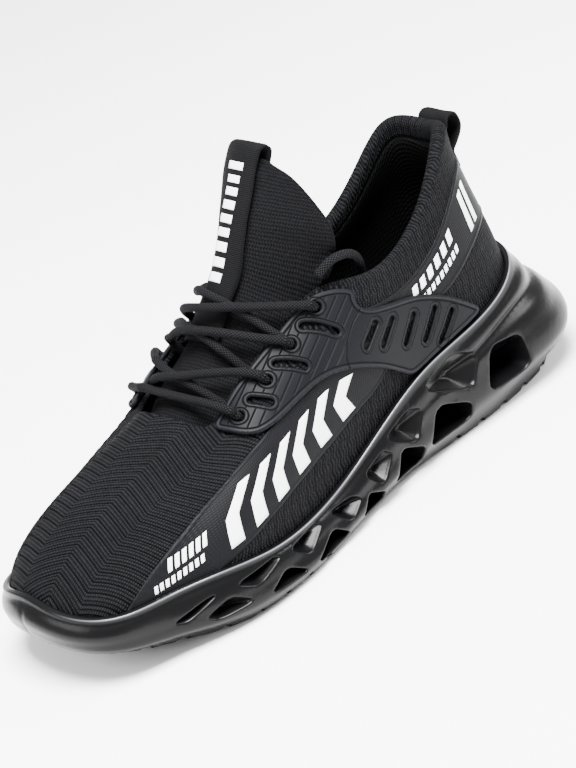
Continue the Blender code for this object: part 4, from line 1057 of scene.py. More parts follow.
def in_outline(points, outline):
    """Which points lie inside a closed outline."""
    inside = np.zeros(len(points), bool)
    before = np.roll(outline, 1, 0)
    for (x0, y0), (x1, y1) in zip(before, outline):
        crosses = (y0 > points[:, 1]) != (y1 > points[:, 1])
        edge = x0 + (points[:, 1] - y0) / (y1 - y0 + 1e-12) * (x1 - x0)
        inside ^= crosses & (points[:, 0] < edge)
    return inside


def flat_metric(place, share):
    """The matrix that turns a row and share into millimetre-true plane lengths near one spot."""
    along, up = last_slopes(place, share)
    across = unit(along)
    second = unit(up - (up @ across) * across)
    return np.array([[along @ across, up @ across], [along @ second, up @ second]])


def capsule(row, share, end_row, end_share, width, points=11):
    """A slot's outline with round ends, of a true width on the form."""
    metric = flat_metric((row + end_row) / 2, (share + end_share) / 2)
    start, end = metric @ (row, share), metric @ (end_row, end_share)
    way = np.arctan2(*(end - start)[::-1])
    turns = np.linspace(-0.5, 0.5, points) * np.pi
    caps = []
    for middle, other, turn in ((end, start, way), (start, end, way + np.pi)):
        caps.append(middle + width / 2 * np.stack([np.cos(turns + turn), np.sin(turns + turn)], 1))
        side = caps[-1][-1]
        steps = np.linspace(0, 1, 14)[1:-1, None]
        caps.append(side + steps * (other - middle))
    return np.vstack(caps) @ np.linalg.inv(metric).T


def circle(row, share, radius, points=28):
    """A round hole's outline on the form."""
    turns = np.arange(points) / points * 2 * np.pi
    spots = radius * np.stack([np.cos(turns), np.sin(turns)], 1)
    return (row, share) + spots @ np.linalg.inv(flat_metric(row, share)).T


def sole_side(places):
    """The sole's values at the places: rim and groove heights, then the four reaches, in metres."""
    rows = np.array(SOLE_ROWS) / 100
    rows = np.vstack([rows, rows[-2:0:-1]])
    return periodic_spline(rows, places) * ([BACK_RIM] * 2 + [BALL_WIDTH] * 4)


def share_at_height(places, heights):
    """The share of the wall at which the outer form reaches a height, at each place."""
    shares = np.linspace(0, 0.7, 71)
    walls = last_point(np.asarray(places)[:, None], shares)[..., 2]
    return np.array([np.interp(h, wall, shares) for h, wall in zip(heights, walls)])


def dense_loop(outline, step):
    """A closed outline in rows and shares with points about a step apart on the form."""
    after = np.roll(outline, -1, 0)
    ahead, here = last_point(after[:, 0], after[:, 1]), last_point(outline[:, 0], outline[:, 1])
    gap = np.linalg.norm(ahead - here, axis=1)
    reach = np.concatenate([[0], np.cumsum(gap)])
    places = np.linspace(0, reach[-1], max(12, int(reach[-1] / step)), endpoint=False)
    whole = np.vstack([outline, outline[:1]])
    return np.stack([np.interp(places, reach, whole[:, k]) for k in (0, 1)], 1)


def sheet_triangles(loops, spare, step):
    """Flat triangles between an outline, its holes and spare points, all in one plane, and their points."""
    for number, loop in enumerate(loops):
        inside = in_outline(spare, loop)
        away = np.linalg.norm((spare[:, None] - loop[None]) / step, axis=2).min(1)
        spare = spare[(inside if number == 0 else ~inside) & (away > 0.6)]
    points = np.vstack(loops + [spare])
    edges, start = [], 0
    for loop in loops:
        edges += [(start + i, start + (i + 1) % len(loop)) for i in range(len(loop))]
        start += len(loop)
    flat = geometry.delaunay_2d_cdt([Vector(p) for p in points / step], edges, [], 0, 1e-7)
    spots = np.array([tuple(v) for v in flat[0]]) * step
    faces = np.array([f for f in flat[2] if len(f) == 3])
    middles = spots[faces].mean(1)
    wanted = in_outline(middles, loops[0])
    for hole in loops[1:]:
        wanted &= ~in_outline(middles, hole)
    return spots, faces[wanted]


def cage_outline():
    """The cage's smooth outline, with its wing's foot just above the sole's rim."""
    corners = np.array(CAGE_OUTLINE)
    foot = corners[:, 1] == 0
    corners[foot, 1] = share_at_height(corners[foot, 0], sole_side(corners[foot, 0])[:, 0] + CAGE_RIM_GAP)
    return rounded(corners)


def edge_distance(points, loop):
    """Distance of each point to the nearest point of a loop on the form."""
    spots = last_point(loop[:, 0], loop[:, 1])
    return np.concatenate([np.linalg.norm(part[:, None] - spots[None], axis=2).min(1)
                           for part in np.array_split(points, 12)])


def cage_relief(spots, points, outline, slots, eyelets):
    """How far the cage's face stands on the knit, with soft rims at edge and holes, and where its lines run."""
    row, share = spots[:, 0], spots[:, 1]
    line = np.interp(share, *WING_LINE)
    ribbed = smooth_step((row - line - 0.03) / 0.05)
    count = points @ np.array(CAGE_RIB_WAY) / MM
    border = edge_distance(points, outline)
    slot = np.min([edge_distance(points, loop) for loop in slots], 0)
    ring = np.min([edge_distance(points, loop) for loop in eyelets], 0)
    plain = smooth_step((border - 2.6 * MM) / (0.6 * MM)) * smooth_step((slot - 1.9 * MM) / (0.5 * MM)) \
        * smooth_step((ring - 1.9 * MM) / (0.5 * MM))
    front = smooth_step((row - line) / 0.05)
    height = sizes().cage_height + 0.3 * MM * (1 - smooth_step((border - 1.4 * MM) / (1.2 * MM)))
    height += 0.25 * MM * front * (1 - smooth_step((np.minimum(slot, ring) - 1.0 * MM) / (1.0 * MM)))
    edge = np.minimum(np.minimum(border, slot), ring)
    height -= 0.5 * MM * (1 - np.sqrt(1 - (1 - np.clip(edge / (0.6 * MM), 0, 1))**2))
    frames = {"rib": count, "ribbed": ribbed * plain, "border": border / MM,
              "hole": np.minimum(slot, ring) / MM, "wing": (line - row) * 17}
    return height, frames


def add_cage(name, side):
    """A moulded cage on one side: the ribbed eyestay with its holes, and the smooth wing down to the sole."""
    outline = dense_loop(cage_outline(), 0.5 * MM)
    slots = [dense_loop(capsule(*slot, SLOT_WIDTH), 0.5 * MM) for slot in EYESTAY_SLOTS]
    slots += [dense_loop(capsule(*slot, WING_SLOT_WIDTH), 0.5 * MM) for slot in WING_SLOTS]
    eyelets = [dense_loop(circle(row, share, EYELET_RADIUS), 0.5 * MM) for row, share in EYELETS]
    step = np.array([0.55 * MM / 19e-3, 0.55 * MM / 72e-3])
    low, high = outline.min(0), outline.max(0)
    rows, shares = (np.arange(low[k], high[k], step[k]) for k in (0, 1))
    spare = np.stack(np.meshgrid(rows, shares), -1)
    spare[1::2, :, 0] += step[0] / 2
    spots, faces = sheet_triangles([outline] + slots + eyelets, spare.reshape(-1, 2), step)
    flat = last_point(side * spots[:, 0], spots[:, 1])
    form = last_point(spots[:, 0], spots[:, 1])
    lift, frames = cage_relief(spots, form, outline, slots, eyelets)
    normal = last_normal(side * spots[:, 0], spots[:, 1])
    points = np.vstack([flat + 0.1 * MM * normal, flat + lift[:, None] * normal])
    count = len(spots)
    solid = faces.tolist() + (faces[:, ::-1] + count).tolist()
    edges = np.vstack([faces[:, [0, 1]], faces[:, [1, 2]], faces[:, [2, 0]]])
    both = {tuple(pair) for pair in edges.tolist()}
    rim = [(a, b) for a, b in both if (b, a) not in both]
    solid += [(b, a, a + count, b + count) for a, b in rim]
    values = {label: np.concatenate([numbers, numbers]) for label, numbers in frames.items()}
    item = outward(add_piece(name, points, solid, "cage", values=values))
    return item


def add_cages():
    """Both cages, which stand for the two solids."""
    for label, side in SIDES:
        item = add_cage("moulded_cage_" + label, side)
        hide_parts("cage_" + label)


def groove_rise(x, y):
    """How far the tread rises into its grooves, which zigzag across the shoe."""
    step = 0.75 * BALL_WIDTH / 3.5
    zigzag = 1 - np.abs(np.mod((y + 0.75 * BALL_WIDTH) / step, 2) - 1)
    bend = CHEVRON * (zigzag - 0.5)
    lines = np.array(TREAD_GROOVES) / 100 * LENGTH - HEEL_CENTRE
    away = np.abs(x[..., None] - lines - bend[..., None]).min(-1)
    return TREAD_GROOVE * (1 - smooth_step((away - 0.36 * TREAD_GROOVE_WIDTH) / (0.28 * TREAD_GROOVE_WIDTH)))


def side_profile(places):
    """The points of the sole's section at each place, from the rim's inner edge to the tread's edge."""
    side = sole_side(places)
    foot = last_point(places, np.zeros(len(places)))
    out = ring_outward(places, 0)
    rim, groove = side[:, 0], side[:, 1]
    wall = last_point(places, share_at_height(places, rim))
    points = []
    for reach, drop in ((GAP, 3.0 * MM), (GAP, 0.6 * MM), (0.9 * MM, 0.0), (2.1 * MM, 0.0),
                        (LIP_WIDTH, 0.9 * MM)):
        spot = wall + reach * out
        spot[:, 2] = rim - drop
        points.append(spot)
    for column, part in ((2, 1.0), (3, 0.74), (4, 0.42), (5, 0.12)):
        spot = foot + side[:, column:column + 1] * out
        low = floor_height(spot[:, 0])
        spot[:, 2] = low + part * (groove - low)
        points.append(spot)
    tread = foot + (side[:, 5:6] - TREAD_CHAMFER) * out
    tread[:, 2] = floor_height(tread[:, 0])
    points.append(tread)
    return np.stack(points, 1)


# The sole's section, read by splines: its steps from the rim's inner edge to the tread, and the points at
# places an eighth of a row apart. The last is the level of the thin line below the rim, which stands out a little
# and is painted bright as a highlight.
PROFILE_STEPS = 9
PROFILE_ROWS = np.arange(0, RING_ROWS, 1 / 8)
SIDE_TABLE = side_profile(PROFILE_ROWS)
LIP_LEVEL = 3.7

# How many points the side, the tread and the footbed have from heel to toe, so that their edges meet, and how
# many the side has from the rim to the tread.
SOLE_POINTS = 560
SOLE_LEVELS = 70


def side_point(places, levels):
    """Points of the sole's side at rows and levels: level 0 is the rim's inner edge and level 9 the tread.

    Each is a cubic through the section's four nearest steps. It stands out a little at the thin line below the rim
    that is painted bright as a highlight, goes in at the fine groove under it, at the heel's notch and at the line
    on the toe's tip, and follows the tread's grooves.
    """
    places, levels = np.broadcast_arrays(np.asarray(places, float), np.asarray(levels, float))
    flat = SIDE_TABLE.reshape(len(PROFILE_ROWS), -1)
    at = periodic_spline(flat, places * 8).reshape(*places.shape, PROFILE_STEPS + 1, 3)
    before, after = 2 * at[..., :1, :] - at[..., 1:2, :], 2 * at[..., -1:, :] - at[..., -2:-1, :]
    ends = np.concatenate([before, at, after], -2)
    level = np.clip(levels, 0, PROFILE_STEPS)
    row = np.minimum(level.astype(int), PROFILE_STEPS - 1)
    t = (level - row)[..., None]
    near = [np.take_along_axis(ends, (row + k)[..., None, None], -2)[..., 0, :] for k in range(4)]
    spot = between(*near, t)
    heel = smooth_step((5.2 - mirrored(places)) / 3.0)
    notch = 2.2 * MM * bell(level - 5.05, 0.22) * heel - 0.35 * MM * bell(level - LIP_LEVEL, 0.3) \
        + 0.5 * MM * bell(level - 4.3, 0.14)
    notch += 0.35 * MM * bell(HALF_RING - mirrored(places), 0.04) * smooth_step((level - 4.2) / 0.8)
    spot = spot - notch[..., None] * ring_outward(places, 0)
    low = floor_height(spot[..., 0]) + groove_rise(spot[..., 0], spot[..., 1])
    spot[..., 2] = np.where(level > 6.5, np.maximum(spot[..., 2], low), spot[..., 2])
    return spot


def side_lookup(side):
    """Rows, levels and the places and heights of a grid of points over the sole's side."""
    rows, levels = np.meshgrid(np.linspace(0.6, 12.4, 240), np.linspace(4.2, 8.6, 60), indexing="ij")
    return rows.ravel(), levels.ravel(), side_point(side * rows, levels)[..., [0, 2]].reshape(-1, 2)


def on_side(spots, side, lookup):
    """The row and level of the sole's side that lie at places along the shoe and heights."""
    rows, levels, table = lookup
    away = ((table[None] - spots[:, None])**2).sum(2).argmin(1)
    place, level = rows[away], levels[away]
    for _ in range(4):
        here = side_point(side * place, level)[:, [0, 2]]
        along = (side_point(side * (place + 0.01), level)[:, [0, 2]] - here) / 0.01
        down = (side_point(side * place, level + 0.01)[:, [0, 2]] - here) / 0.01
        gap = spots - here
        det = along[:, 0] * down[:, 1] - along[:, 1] * down[:, 0]
        det = np.where(np.abs(det) < 1e-9, 1e-9, det)
        place = place + np.clip((gap[:, 0] * down[:, 1] - gap[:, 1] * down[:, 0]) / det, -0.2, 0.2)
        level = level + np.clip((gap[:, 1] * along[:, 0] - gap[:, 0] * along[:, 1]) / det, -0.3, 0.3)
    return np.stack([place, level], 1)


def grown(outline, gap):
    """A closed outline moved outward by a gap, or inward by a negative one."""
    after = np.roll(outline, -1, 0)
    along = after - np.roll(outline, 1, 0)
    turn = np.sign(np.sum(outline[:, 0] * after[:, 1] - after[:, 0] * outline[:, 1]))
    out = np.stack([along[:, 1], -along[:, 0]], 1) * turn
    return outline + gap * unit(out)


def opening_shape(row):
    """An opening's outline at places along the shoe and heights, with its corners cut round three times."""
    corners = np.array(row).reshape(4, 2) / 100 * (LENGTH, BACK_RIM) - (HEEL_CENTRE, 0)
    return rounded(corners, 3, 0.15)


# How an opening goes in: how far its outline has grown, how deep the ring lies, and its size.
DEEP_RINGS = ((0.8, 0, 1), (0.45, 0.12, 1), (0.15, 0.5, 1), (0, 1.1, 1), (-0.2, 2.5, 1), (-0.2, 5, 0.96),
              (-0.2, 10, 0.9), (-0.2, 16, 0.84), (-0.2, 22, 0.76), (-0.2, 22.4, 0.6), (-0.2, 22.5, 0.3))
POCKET_RINGS = ((0.7, 0, 1), (0.4, 0.1, 1), (0.12, 0.4, 1), (0, 0.9, 1), (-0.1, 1.5, 0.92), (-0.1, 3.4, 0.62),
                (-0.1, 5.3, 0.3), (-0.1, 6.2, 0.12))


def opening_rings(row, side, stages, seat, lookup):
    """Rings of points into the sole's side for one opening, and the first ring's rows and levels."""
    outline = opening_shape(row)
    middle = outline.mean(0)
    apex = middle + np.array([0.1, -0.12]) * (outline.max(0) - outline.min(0))
    centre = middle if seat else apex
    anchor = on_side(middle[None], side, lookup)[0]
    direction = ring_outward(np.array([side * anchor[0]]), 0)[0]
    rings, first = [], None
    crown = seat_height(middle[0]) - 3 * MM
    for gap, depth, size in stages:
        ring = grown(outline, gap * MM)
        ring = centre + size * (ring - centre)
        at = on_side(ring, side, lookup)
        points = side_point(side * at[:, 0], at[:, 1]) - depth * MM * direction
        if seat and depth > 6:
            points[:, 2] = np.minimum(points[:, 2], crown)
        rings.append(points)
        if first is None:
            first = at
    return np.stack(rings), first


def border_loop(rows, levels):
    """The border of a block of rows and levels, point by point once round it."""
    flat, upright = np.zeros(len(rows) - 1), np.zeros(len(levels) - 1)
    return np.vstack([np.stack(pair, 1) for pair in (
        (rows[:-1], flat + levels[0]), (upright + rows[-1], levels[:-1]),
        (rows[:0:-1], flat + levels[-1]), (upright + rows[0], levels[:0:-1]))])


def side_mesh(side):
    """The sole's side on one side of the shoe, heel to toe, with its openings and recesses, as triangles."""
    stages = [(row, DEEP_RINGS, True) for row in LOWER_OPENINGS[:6]]
    stages += [(row, POCKET_RINGS, False) for row in LOWER_OPENINGS[6:] + UPPER_RECESSES]
    border = border_loop(np.linspace(0, HALF_RING, SOLE_POINTS), np.linspace(0, PROFILE_STEPS, SOLE_LEVELS))
    levels = np.concatenate([np.linspace(0.15, 4.3, 24), np.arange(4.45, 7.2, 0.16),
                             np.linspace(7.25, 8.95, 17)])
    wide = np.stack(np.meshgrid(np.arange(0.02, HALF_RING, 1.7 * MM / 23e-3), levels, indexing="ij"), -1)
    wide[1::2, :, 1] += 0.04
    close = np.meshgrid(np.arange(0.03, HALF_RING, 0.036), np.linspace(7.3, 8.95, 12), indexing="ij")
    spare = np.vstack([wide.reshape(-1, 2), np.stack(close, -1).reshape(-1, 2)])
    rings, loops = [], [border]
    lookup = side_lookup(side)
    for row, form, seat in stages:
        ring, first = opening_rings(row, side, form, seat, lookup)
        rings.append(ring)
        loops.append(first)
    spots, faces = sheet_triangles(loops, spare, np.array([0.036, 0.14]))
    points = [side_point(side * spots[:, 0], spots[:, 1])]
    solid = faces.tolist()
    start = len(spots)
    for ring in rings:
        count, size = ring.shape[:2]
        points.append(ring.reshape(-1, 3))
        quads = grid_corners(count, size, along=True)[1] + start
        solid += quads.tolist()
        solid.append((start + (count - 1) * size + np.arange(size)).tolist())
        start += count * size
    # Where the painted highlight runs: a narrow band at its level below the rim, faded out at the toe.
    lip = np.zeros(start)
    lip[:len(spots)] = bell(spots[:, 1] - LIP_LEVEL, 0.17) * smooth_step((12.3 - spots[:, 0]) / 1.5)
    return np.vstack(points), solid, lip


def tread_mesh():
    """The tread and the footbed under the insole: grids from the outer edge to the inner one."""
    rows = np.linspace(0, HALF_RING, SOLE_POINTS)
    across = np.linspace(0, 1, 90)
    outer, inner = side_point(rows, PROFILE_STEPS), side_point(-rows, PROFILE_STEPS)
    tread = outer[:, None] + across[:, None] * (inner - outer)[:, None]
    tread[..., 2] = floor_height(tread[..., 0]) + groove_rise(tread[..., 0], tread[..., 1])
    outer, inner = side_point(rows, 0), side_point(-rows, 0)
    across = np.linspace(0, 1, 24)
    bed = outer[:, None] + across[:, None] * (inner - outer)[:, None]
    inside = np.minimum(across, 1 - across)[:, None] * np.linalg.norm(inner - outer, axis=1)
    low = seat_height(bed[..., 0])
    bed[..., 2] = np.where(inside.T > 0.01 * MM, low, bed[..., 2])
    return tread, bed


def add_sole():
    """The rubber sole: side with its openings, grooved tread and footbed, joined in one mesh."""
    parts, solid, lip_highlights, start = [], [], [], 0
    for side in (1, -1):
        points, faces, lip = side_mesh(side)
        parts.append(points)
        lip_highlights.append(lip)
        solid += [[k + start for k in face] for face in faces]
        start += len(points)
    for grid in tread_mesh():
        parts.append(grid.reshape(-1, 3))
        solid += (grid_corners(*grid.shape[:2])[1] + start).tolist()
        lip_highlights.append(np.zeros(grid.shape[0] * grid.shape[1]))
        start += grid.shape[0] * grid.shape[1]
    values = {"lip": np.concatenate(lip_highlights)}
    item = outward(add_piece("rubber_sole", np.vstack(parts), solid, "rubber", values=values))
    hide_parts("sole")


def add_insole():
    """The insole: a soft sheet on the footbed that turns up a little at its edge."""
    rows = np.linspace(0.02, HALF_RING - 0.02, 200)
    edges = []
    for side in (1, -1):
        foot = last_point(side * rows, np.zeros(len(rows)))
        edges.append(foot - (WALL + GAP + 0.5 * MM) * ring_outward(side * rows, 0))
    across = np.linspace(0, 1, 40)
    sheet = edges[0][:, None] + across[:, None] * (edges[1] - edges[0])[:, None]
    width = np.linalg.norm(edges[1] - edges[0], axis=1)[:, None]
    rise = 1.2 * MM * bell(np.minimum(across, 1 - across) * width, 5 * MM)
    sheet[..., 2] = seat_height(sheet[..., 0]) + INSOLE_THICKNESS + rise
    item = outward(thicken(add_grid("insole_pad", sheet, "lining"), 3.6 * MM))
    if np.mean([face.normal.z for face in item.data.polygons]) < 0:
        item.data.flip_normals()
    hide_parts("insole")


def tongue_point(rows, across):
    """Points of the tongue's outer face: rows from foot to top, across from -1 inside to 1 outside."""
    rows, across = np.broadcast_arrays(np.asarray(rows, float), np.asarray(across, float))
    table = np.array(TONGUE_ROWS) / 100 * ([LENGTH, BALL_WIDTH, COLLAR_HEIGHT] * 3) - [HEEL_CENTRE, 0, 0] * 3
    at = open_spline(table, rows)
    middle, outer, inner = at[..., :3], at[..., 3:6], at[..., 6:9]
    t = across[..., None]
    sag = np.where(t > 0, outer, inner) - middle
    spot = middle + t**2 * sag
    spot[..., 1] = middle[..., 1] + np.abs(across) * sag[..., 1]
    return spot


def tongue_normal(rows, across):
    """Outward unit normals of the tongue."""
    step = 0.05
    high, low = np.minimum(rows + step, TONGUE_TOP), np.maximum(rows - step, 0)
    up = tongue_point(high, across) - tongue_point(low, across)
    right, left = np.minimum(across + step, 1), np.maximum(across - step, -1)
    return unit(np.cross(tongue_point(rows, right) - tongue_point(rows, left), up))


def tongue_depth(rows, across):
    """The tongue's thickness: thinner towards its edges and its foot, and bound thin at its top."""
    edge = 1 - smooth_step((np.abs(across) - 0.6) / 0.4)
    full = TONGUE_THICKNESS * (0.45 + 0.55 * edge) * (0.6 + 0.4 * smooth_step(rows / 3))
    bound = smooth_step((rows - TONGUE_TOP + 3) / 2.4)
    return full + bound * (TONGUE_TOP_THICKNESS - full)


def add_tongue():
    """The padded tongue with a bound edge that runs up both sides and round its top."""
    rows, across = np.linspace(0, TONGUE_TOP, 150), np.linspace(-1, 1, 61)
    row, t = np.meshgrid(rows, across, indexing="ij")
    normal = tongue_normal(row, t)
    outer = tongue_point(row, t)
    depth = tongue_depth(row, t)[..., None]
    loops = np.concatenate([outer, (outer - depth * normal)[:, ::-1]], 1)
    reach = lengths_along(outer[:, len(across) // 2])[:, None]
    maps = {"strip": np.stack(np.broadcast_arrays(lengths_around(loops), reach), -1)}
    item = add_grid("tongue_padded", loops, "tongue_knit", maps, along=True)
    add_faces(item, strip_ends(len(rows), len(across)))
    outward(item)
    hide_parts("tongue")
    up = np.linspace(4.2, TONGUE_TOP, 90)
    top = np.linspace(1, -1, 24)[1:-1]
    edge_rows = np.concatenate([up, np.full(len(top), TONGUE_TOP), up[::-1]])
    edge_across = np.concatenate([np.ones(len(up)), top, -np.ones(len(up))])
    depth = tongue_depth(edge_rows, edge_across)[:, None]
    path = tongue_point(edge_rows, edge_across) - 0.5 * depth * tongue_normal(edge_rows, edge_across)
    for _ in range(6):
        path[1:-1] = (path[:-2] + 2 * path[1:-1] + path[2:]) / 4
    binding = add_tube("tongue_binding", path, 1.0 * MM, "edge_binding")


def strip(name, path):
    """A webbing strip along a grid path: rounded edges, its thickness along the path's normals."""
    along, wide = np.gradient(path, axis=0), np.gradient(path, axis=1)
    normal = unit(np.cross(wide, along))
    place = np.abs(np.linspace(-1, 1, path.shape[1]))
    half = WEBBING / 2 * np.sqrt(np.clip(1 - (np.maximum(place - 0.92, 0) / 0.085)**2, 0.02, 1))
    loops = np.concatenate([path + half[:, None] * normal, (path - half[:, None] * normal)[:, ::-1]], 1)
    reach = lengths_along(path[:, path.shape[1] // 2])[:, None]
    maps = {"strip": np.stack(np.broadcast_arrays(lengths_around(loops), reach), -1)}
    item = add_grid(name, loops, "webbing", maps, along=True)
    add_faces(item, strip_ends(*path.shape[:2]))
    return outward(item)


def tab_front(rows, offsets, lift):
    """Points at a height above the tongue's middle band, at true distances from its middle."""
    rows, offsets = np.broadcast_arrays(np.asarray(rows, float), np.asarray(offsets, float))
    shaped = np.minimum(rows, TONGUE_TOP - 1.5)
    middle = tongue_point(rows, 0)
    sag = tongue_point(shaped, np.where(offsets > 0, 1, -1)) - tongue_point(shaped, 0)
    spot = middle + (offsets / sag[..., 1])[..., None]**2 * sag
    spot[..., 1] = middle[..., 1] + offsets
    return spot + np.asarray(lift)[..., None] * tongue_normal(rows, np.zeros(rows.shape))


def tab_path(offsets):
    """The tongue tab's path: up the front, over the top in a loop and a little down the back."""
    near = GAP + TAB_SLACK + WEBBING / 2
    far = -TONGUE_TOP_THICKNESS - near
    front = tab_front(np.linspace(2.78, TONGUE_TOP, 110)[:, None], offsets, near)
    back = tab_front(np.array([TONGUE_TOP, TONGUE_TOP - 0.3, TONGUE_TOP - 0.55, TONGUE_TOP - 0.8,
                               TONGUE_TOP - 1.1])[:, None], offsets,
                     np.array([far, far, far, far - 0.4 * MM, far - 0.8 * MM])[:, None])
    rise = unit(tongue_point(TONGUE_TOP, 0) - tongue_point(TONGUE_TOP - 0.5, 0))
    middle, half = (front[-1] + back[0]) / 2, (front[-1] - back[0]) / 2
    size = np.linalg.norm(half, axis=1, keepdims=True)
    turns = np.radians(np.linspace(0, 180, 25))
    loop = [middle + np.cos(a) * half + (TAB_LOOP + np.sin(a) * size) * rise for a in turns]
    path = np.concatenate([front, np.stack(loop), back[1:]])
    for _ in range(8):
        path[100:-1] = (path[99:-2] + 2 * path[100:-1] + path[101:]) / 4
    return path


def heel_tab_path(offsets):
    """The heel tab's path: off the upper's back, out and up, and back down to below the collar's edge."""
    places = offsets / (0.12 * BALL_WIDTH)
    near = GAP + WEBBING / 2
    count = len(places)
    rows = [on_last(places, np.full(count, share), np.full(count, near)) for share in (0.72, 0.765, 0.81)]
    start = rows[-1]
    edge = last_point(places, np.full(count, TOP_SHARE))
    for out, part in ((2.8, 0.2), (6.2, 0.44), (8.3, 0.68), (8.7, 0.92)):
        spot = start + part * (edge - start)
        spot[:, 0] = edge[:, 0] + (start[:, 0] - edge[:, 0]) * (1 - part) - out * MM
        rows.append(spot)
    for out, rise in ((7.5, 2.4), (5.0, 3.3), (2.6, 2.2)):
        rows.append(edge + [-out * MM, 0, rise * MM])
    for share in (0.957, 0.945):
        rows.append(on_last(places, np.full(count, share), np.full(count, near)))
    table = np.stack(rows)
    flat = open_spline(table.reshape(len(table), -1), np.linspace(0, len(table) - 1, 110))
    return flat.reshape(110, count, 3)


def add_tabs():
    """The webbing tabs of tongue and heel, and the tongue tab's white dashes and stitches."""
    offsets = TAB_SHIFT + np.linspace(-0.5, 0.5, 17) * TONGUE_TAB_WIDTH
    item = strip("tongue_tab_webbing", tab_path(offsets))
    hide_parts("tongue_pull_tab")
    item = strip("heel_tab_webbing", heel_tab_path(np.linspace(-0.5, 0.5, 17) * HEEL_TAB_WIDTH))
    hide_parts("heel_pull_tab")
    add_dashes()
    add_stitches(offsets)


def add_dashes():
    """The white dashes: small grids just above the tongue tab's face."""
    grids = []
    for low, high, left, right in TAB_DASHES:
        rows = np.linspace(low, high, 8)[:, None]
        grid = tab_front(rows, TAB_SHIFT + np.linspace(left, right, 9) * MM, GAP + TAB_SLACK + WEBBING / 2)
        normal = unit(np.cross(np.gradient(grid, axis=1), np.gradient(grid, axis=0)))
        normal *= np.sign((normal * tongue_normal(rows, 0 * rows)).sum(-1, keepdims=True))
        grids.append(grid + (WEBBING / 2 + 0.14 * MM) * normal)
    faces = repeated(grid_corners(8, 9)[1], len(grids))
    item = outward(thicken(add_piece("white_dashes_tab", np.stack(grids), faces, "white_print"), 0.12 * MM))


def add_stitches(offsets):
    """Two rows of thread across the tongue tab's lower end: each stitch is a short tube with narrow ends."""
    lift = GAP + TAB_SLACK + WEBBING + 0.12 * MM
    starts = np.linspace(offsets[0] + 1.2 * MM, offsets[-1] - 3.2 * MM, 9)
    spans = np.array([tab_front(np.full(2, row), np.array([start, start + 1.7 * MM]), np.full(2, lift))
                      for row in (2.92, 3.12) for start in starts])
    sides = 6
    turn = np.arange(sides) / sides * 2 * np.pi
    share = np.array([0, 0.15, 0.5, 0.85, 1.0])
    size = np.array([0.3, 0.85, 1, 0.85, 0.3]) * 0.28 * MM
    middle = spans[:, :1] + share[:, None] * (spans[:, 1:] - spans[:, :1])
    way = unit(spans[:, 1] - spans[:, 0])[:, None, None]
    side = unit(np.cross(way, np.array([0.3, 0.1, 1.0])))
    up = np.cross(way, side)
    ring = np.cos(turn)[:, None] * side + np.sin(turn)[:, None] * up
    points = middle[:, :, None] + size[:, None, None] * ring
    faces = repeated(grid_corners(len(share), sides, along=True)[1], len(spans))
    for first in range(0, len(share) * sides * len(spans), len(share) * sides):
        last = first + (len(share) - 1) * sides
        faces.append(list(range(first, first + sides)))
        faces.append(list(range(last + sides - 1, last - 1, -1)))
    item = outward(add_piece("tab_stitches", points, faces, "lining"))


def cage_top(place, share, lift):
    """A point above the solid cage's outer face."""
    return last_point(place, share) + (CAGE_GAP + CAGE_THICKNESS + lift) * last_normal(place, share)


def lace_supports():
    """Points and outward normals of what the lace lies on: the tongue, its tab, and the throat's edges."""
    rows = np.linspace(0, 8, 161)[:, None]
    wide = np.linspace(-0.97, 0.97, 61)
    parts = [(tongue_point(rows, wide), tongue_normal(rows, wide))]
    offsets = TAB_SHIFT + np.linspace(-TONGUE_TAB_WIDTH / 2, TONGUE_TAB_WIDTH / 2, 27)
    tab = tab_front(np.linspace(2.7, 9, 161)[:, None], offsets, GAP + TAB_SLACK + WEBBING)
    parts.append((tab, unit(np.cross(np.gradient(tab, axis=1), np.gradient(tab, axis=0)))))
    places, shares = np.linspace(5.6, 9.95, 120)[:, None], np.linspace(0.7, 0.99, 24)
    for side in (1, -1):
        parts.append((cage_top(side * places, shares, 0), last_normal(side * places, shares)))
    return [np.vstack([part[k].reshape(-1, 3) for part in parts]) for k in (0, 1)]


def eyelet_end(row, side, clear_by):
    """A strand's last points: above its eyelet, and over the throat's edge a little nearer the toe."""
    share = np.interp(row, *zip(*EYELETS))
    return np.stack([cage_top(side * row, share, clear_by),
                     cage_top(side * (row + LACE_LEAN), 0.975, clear_by)])


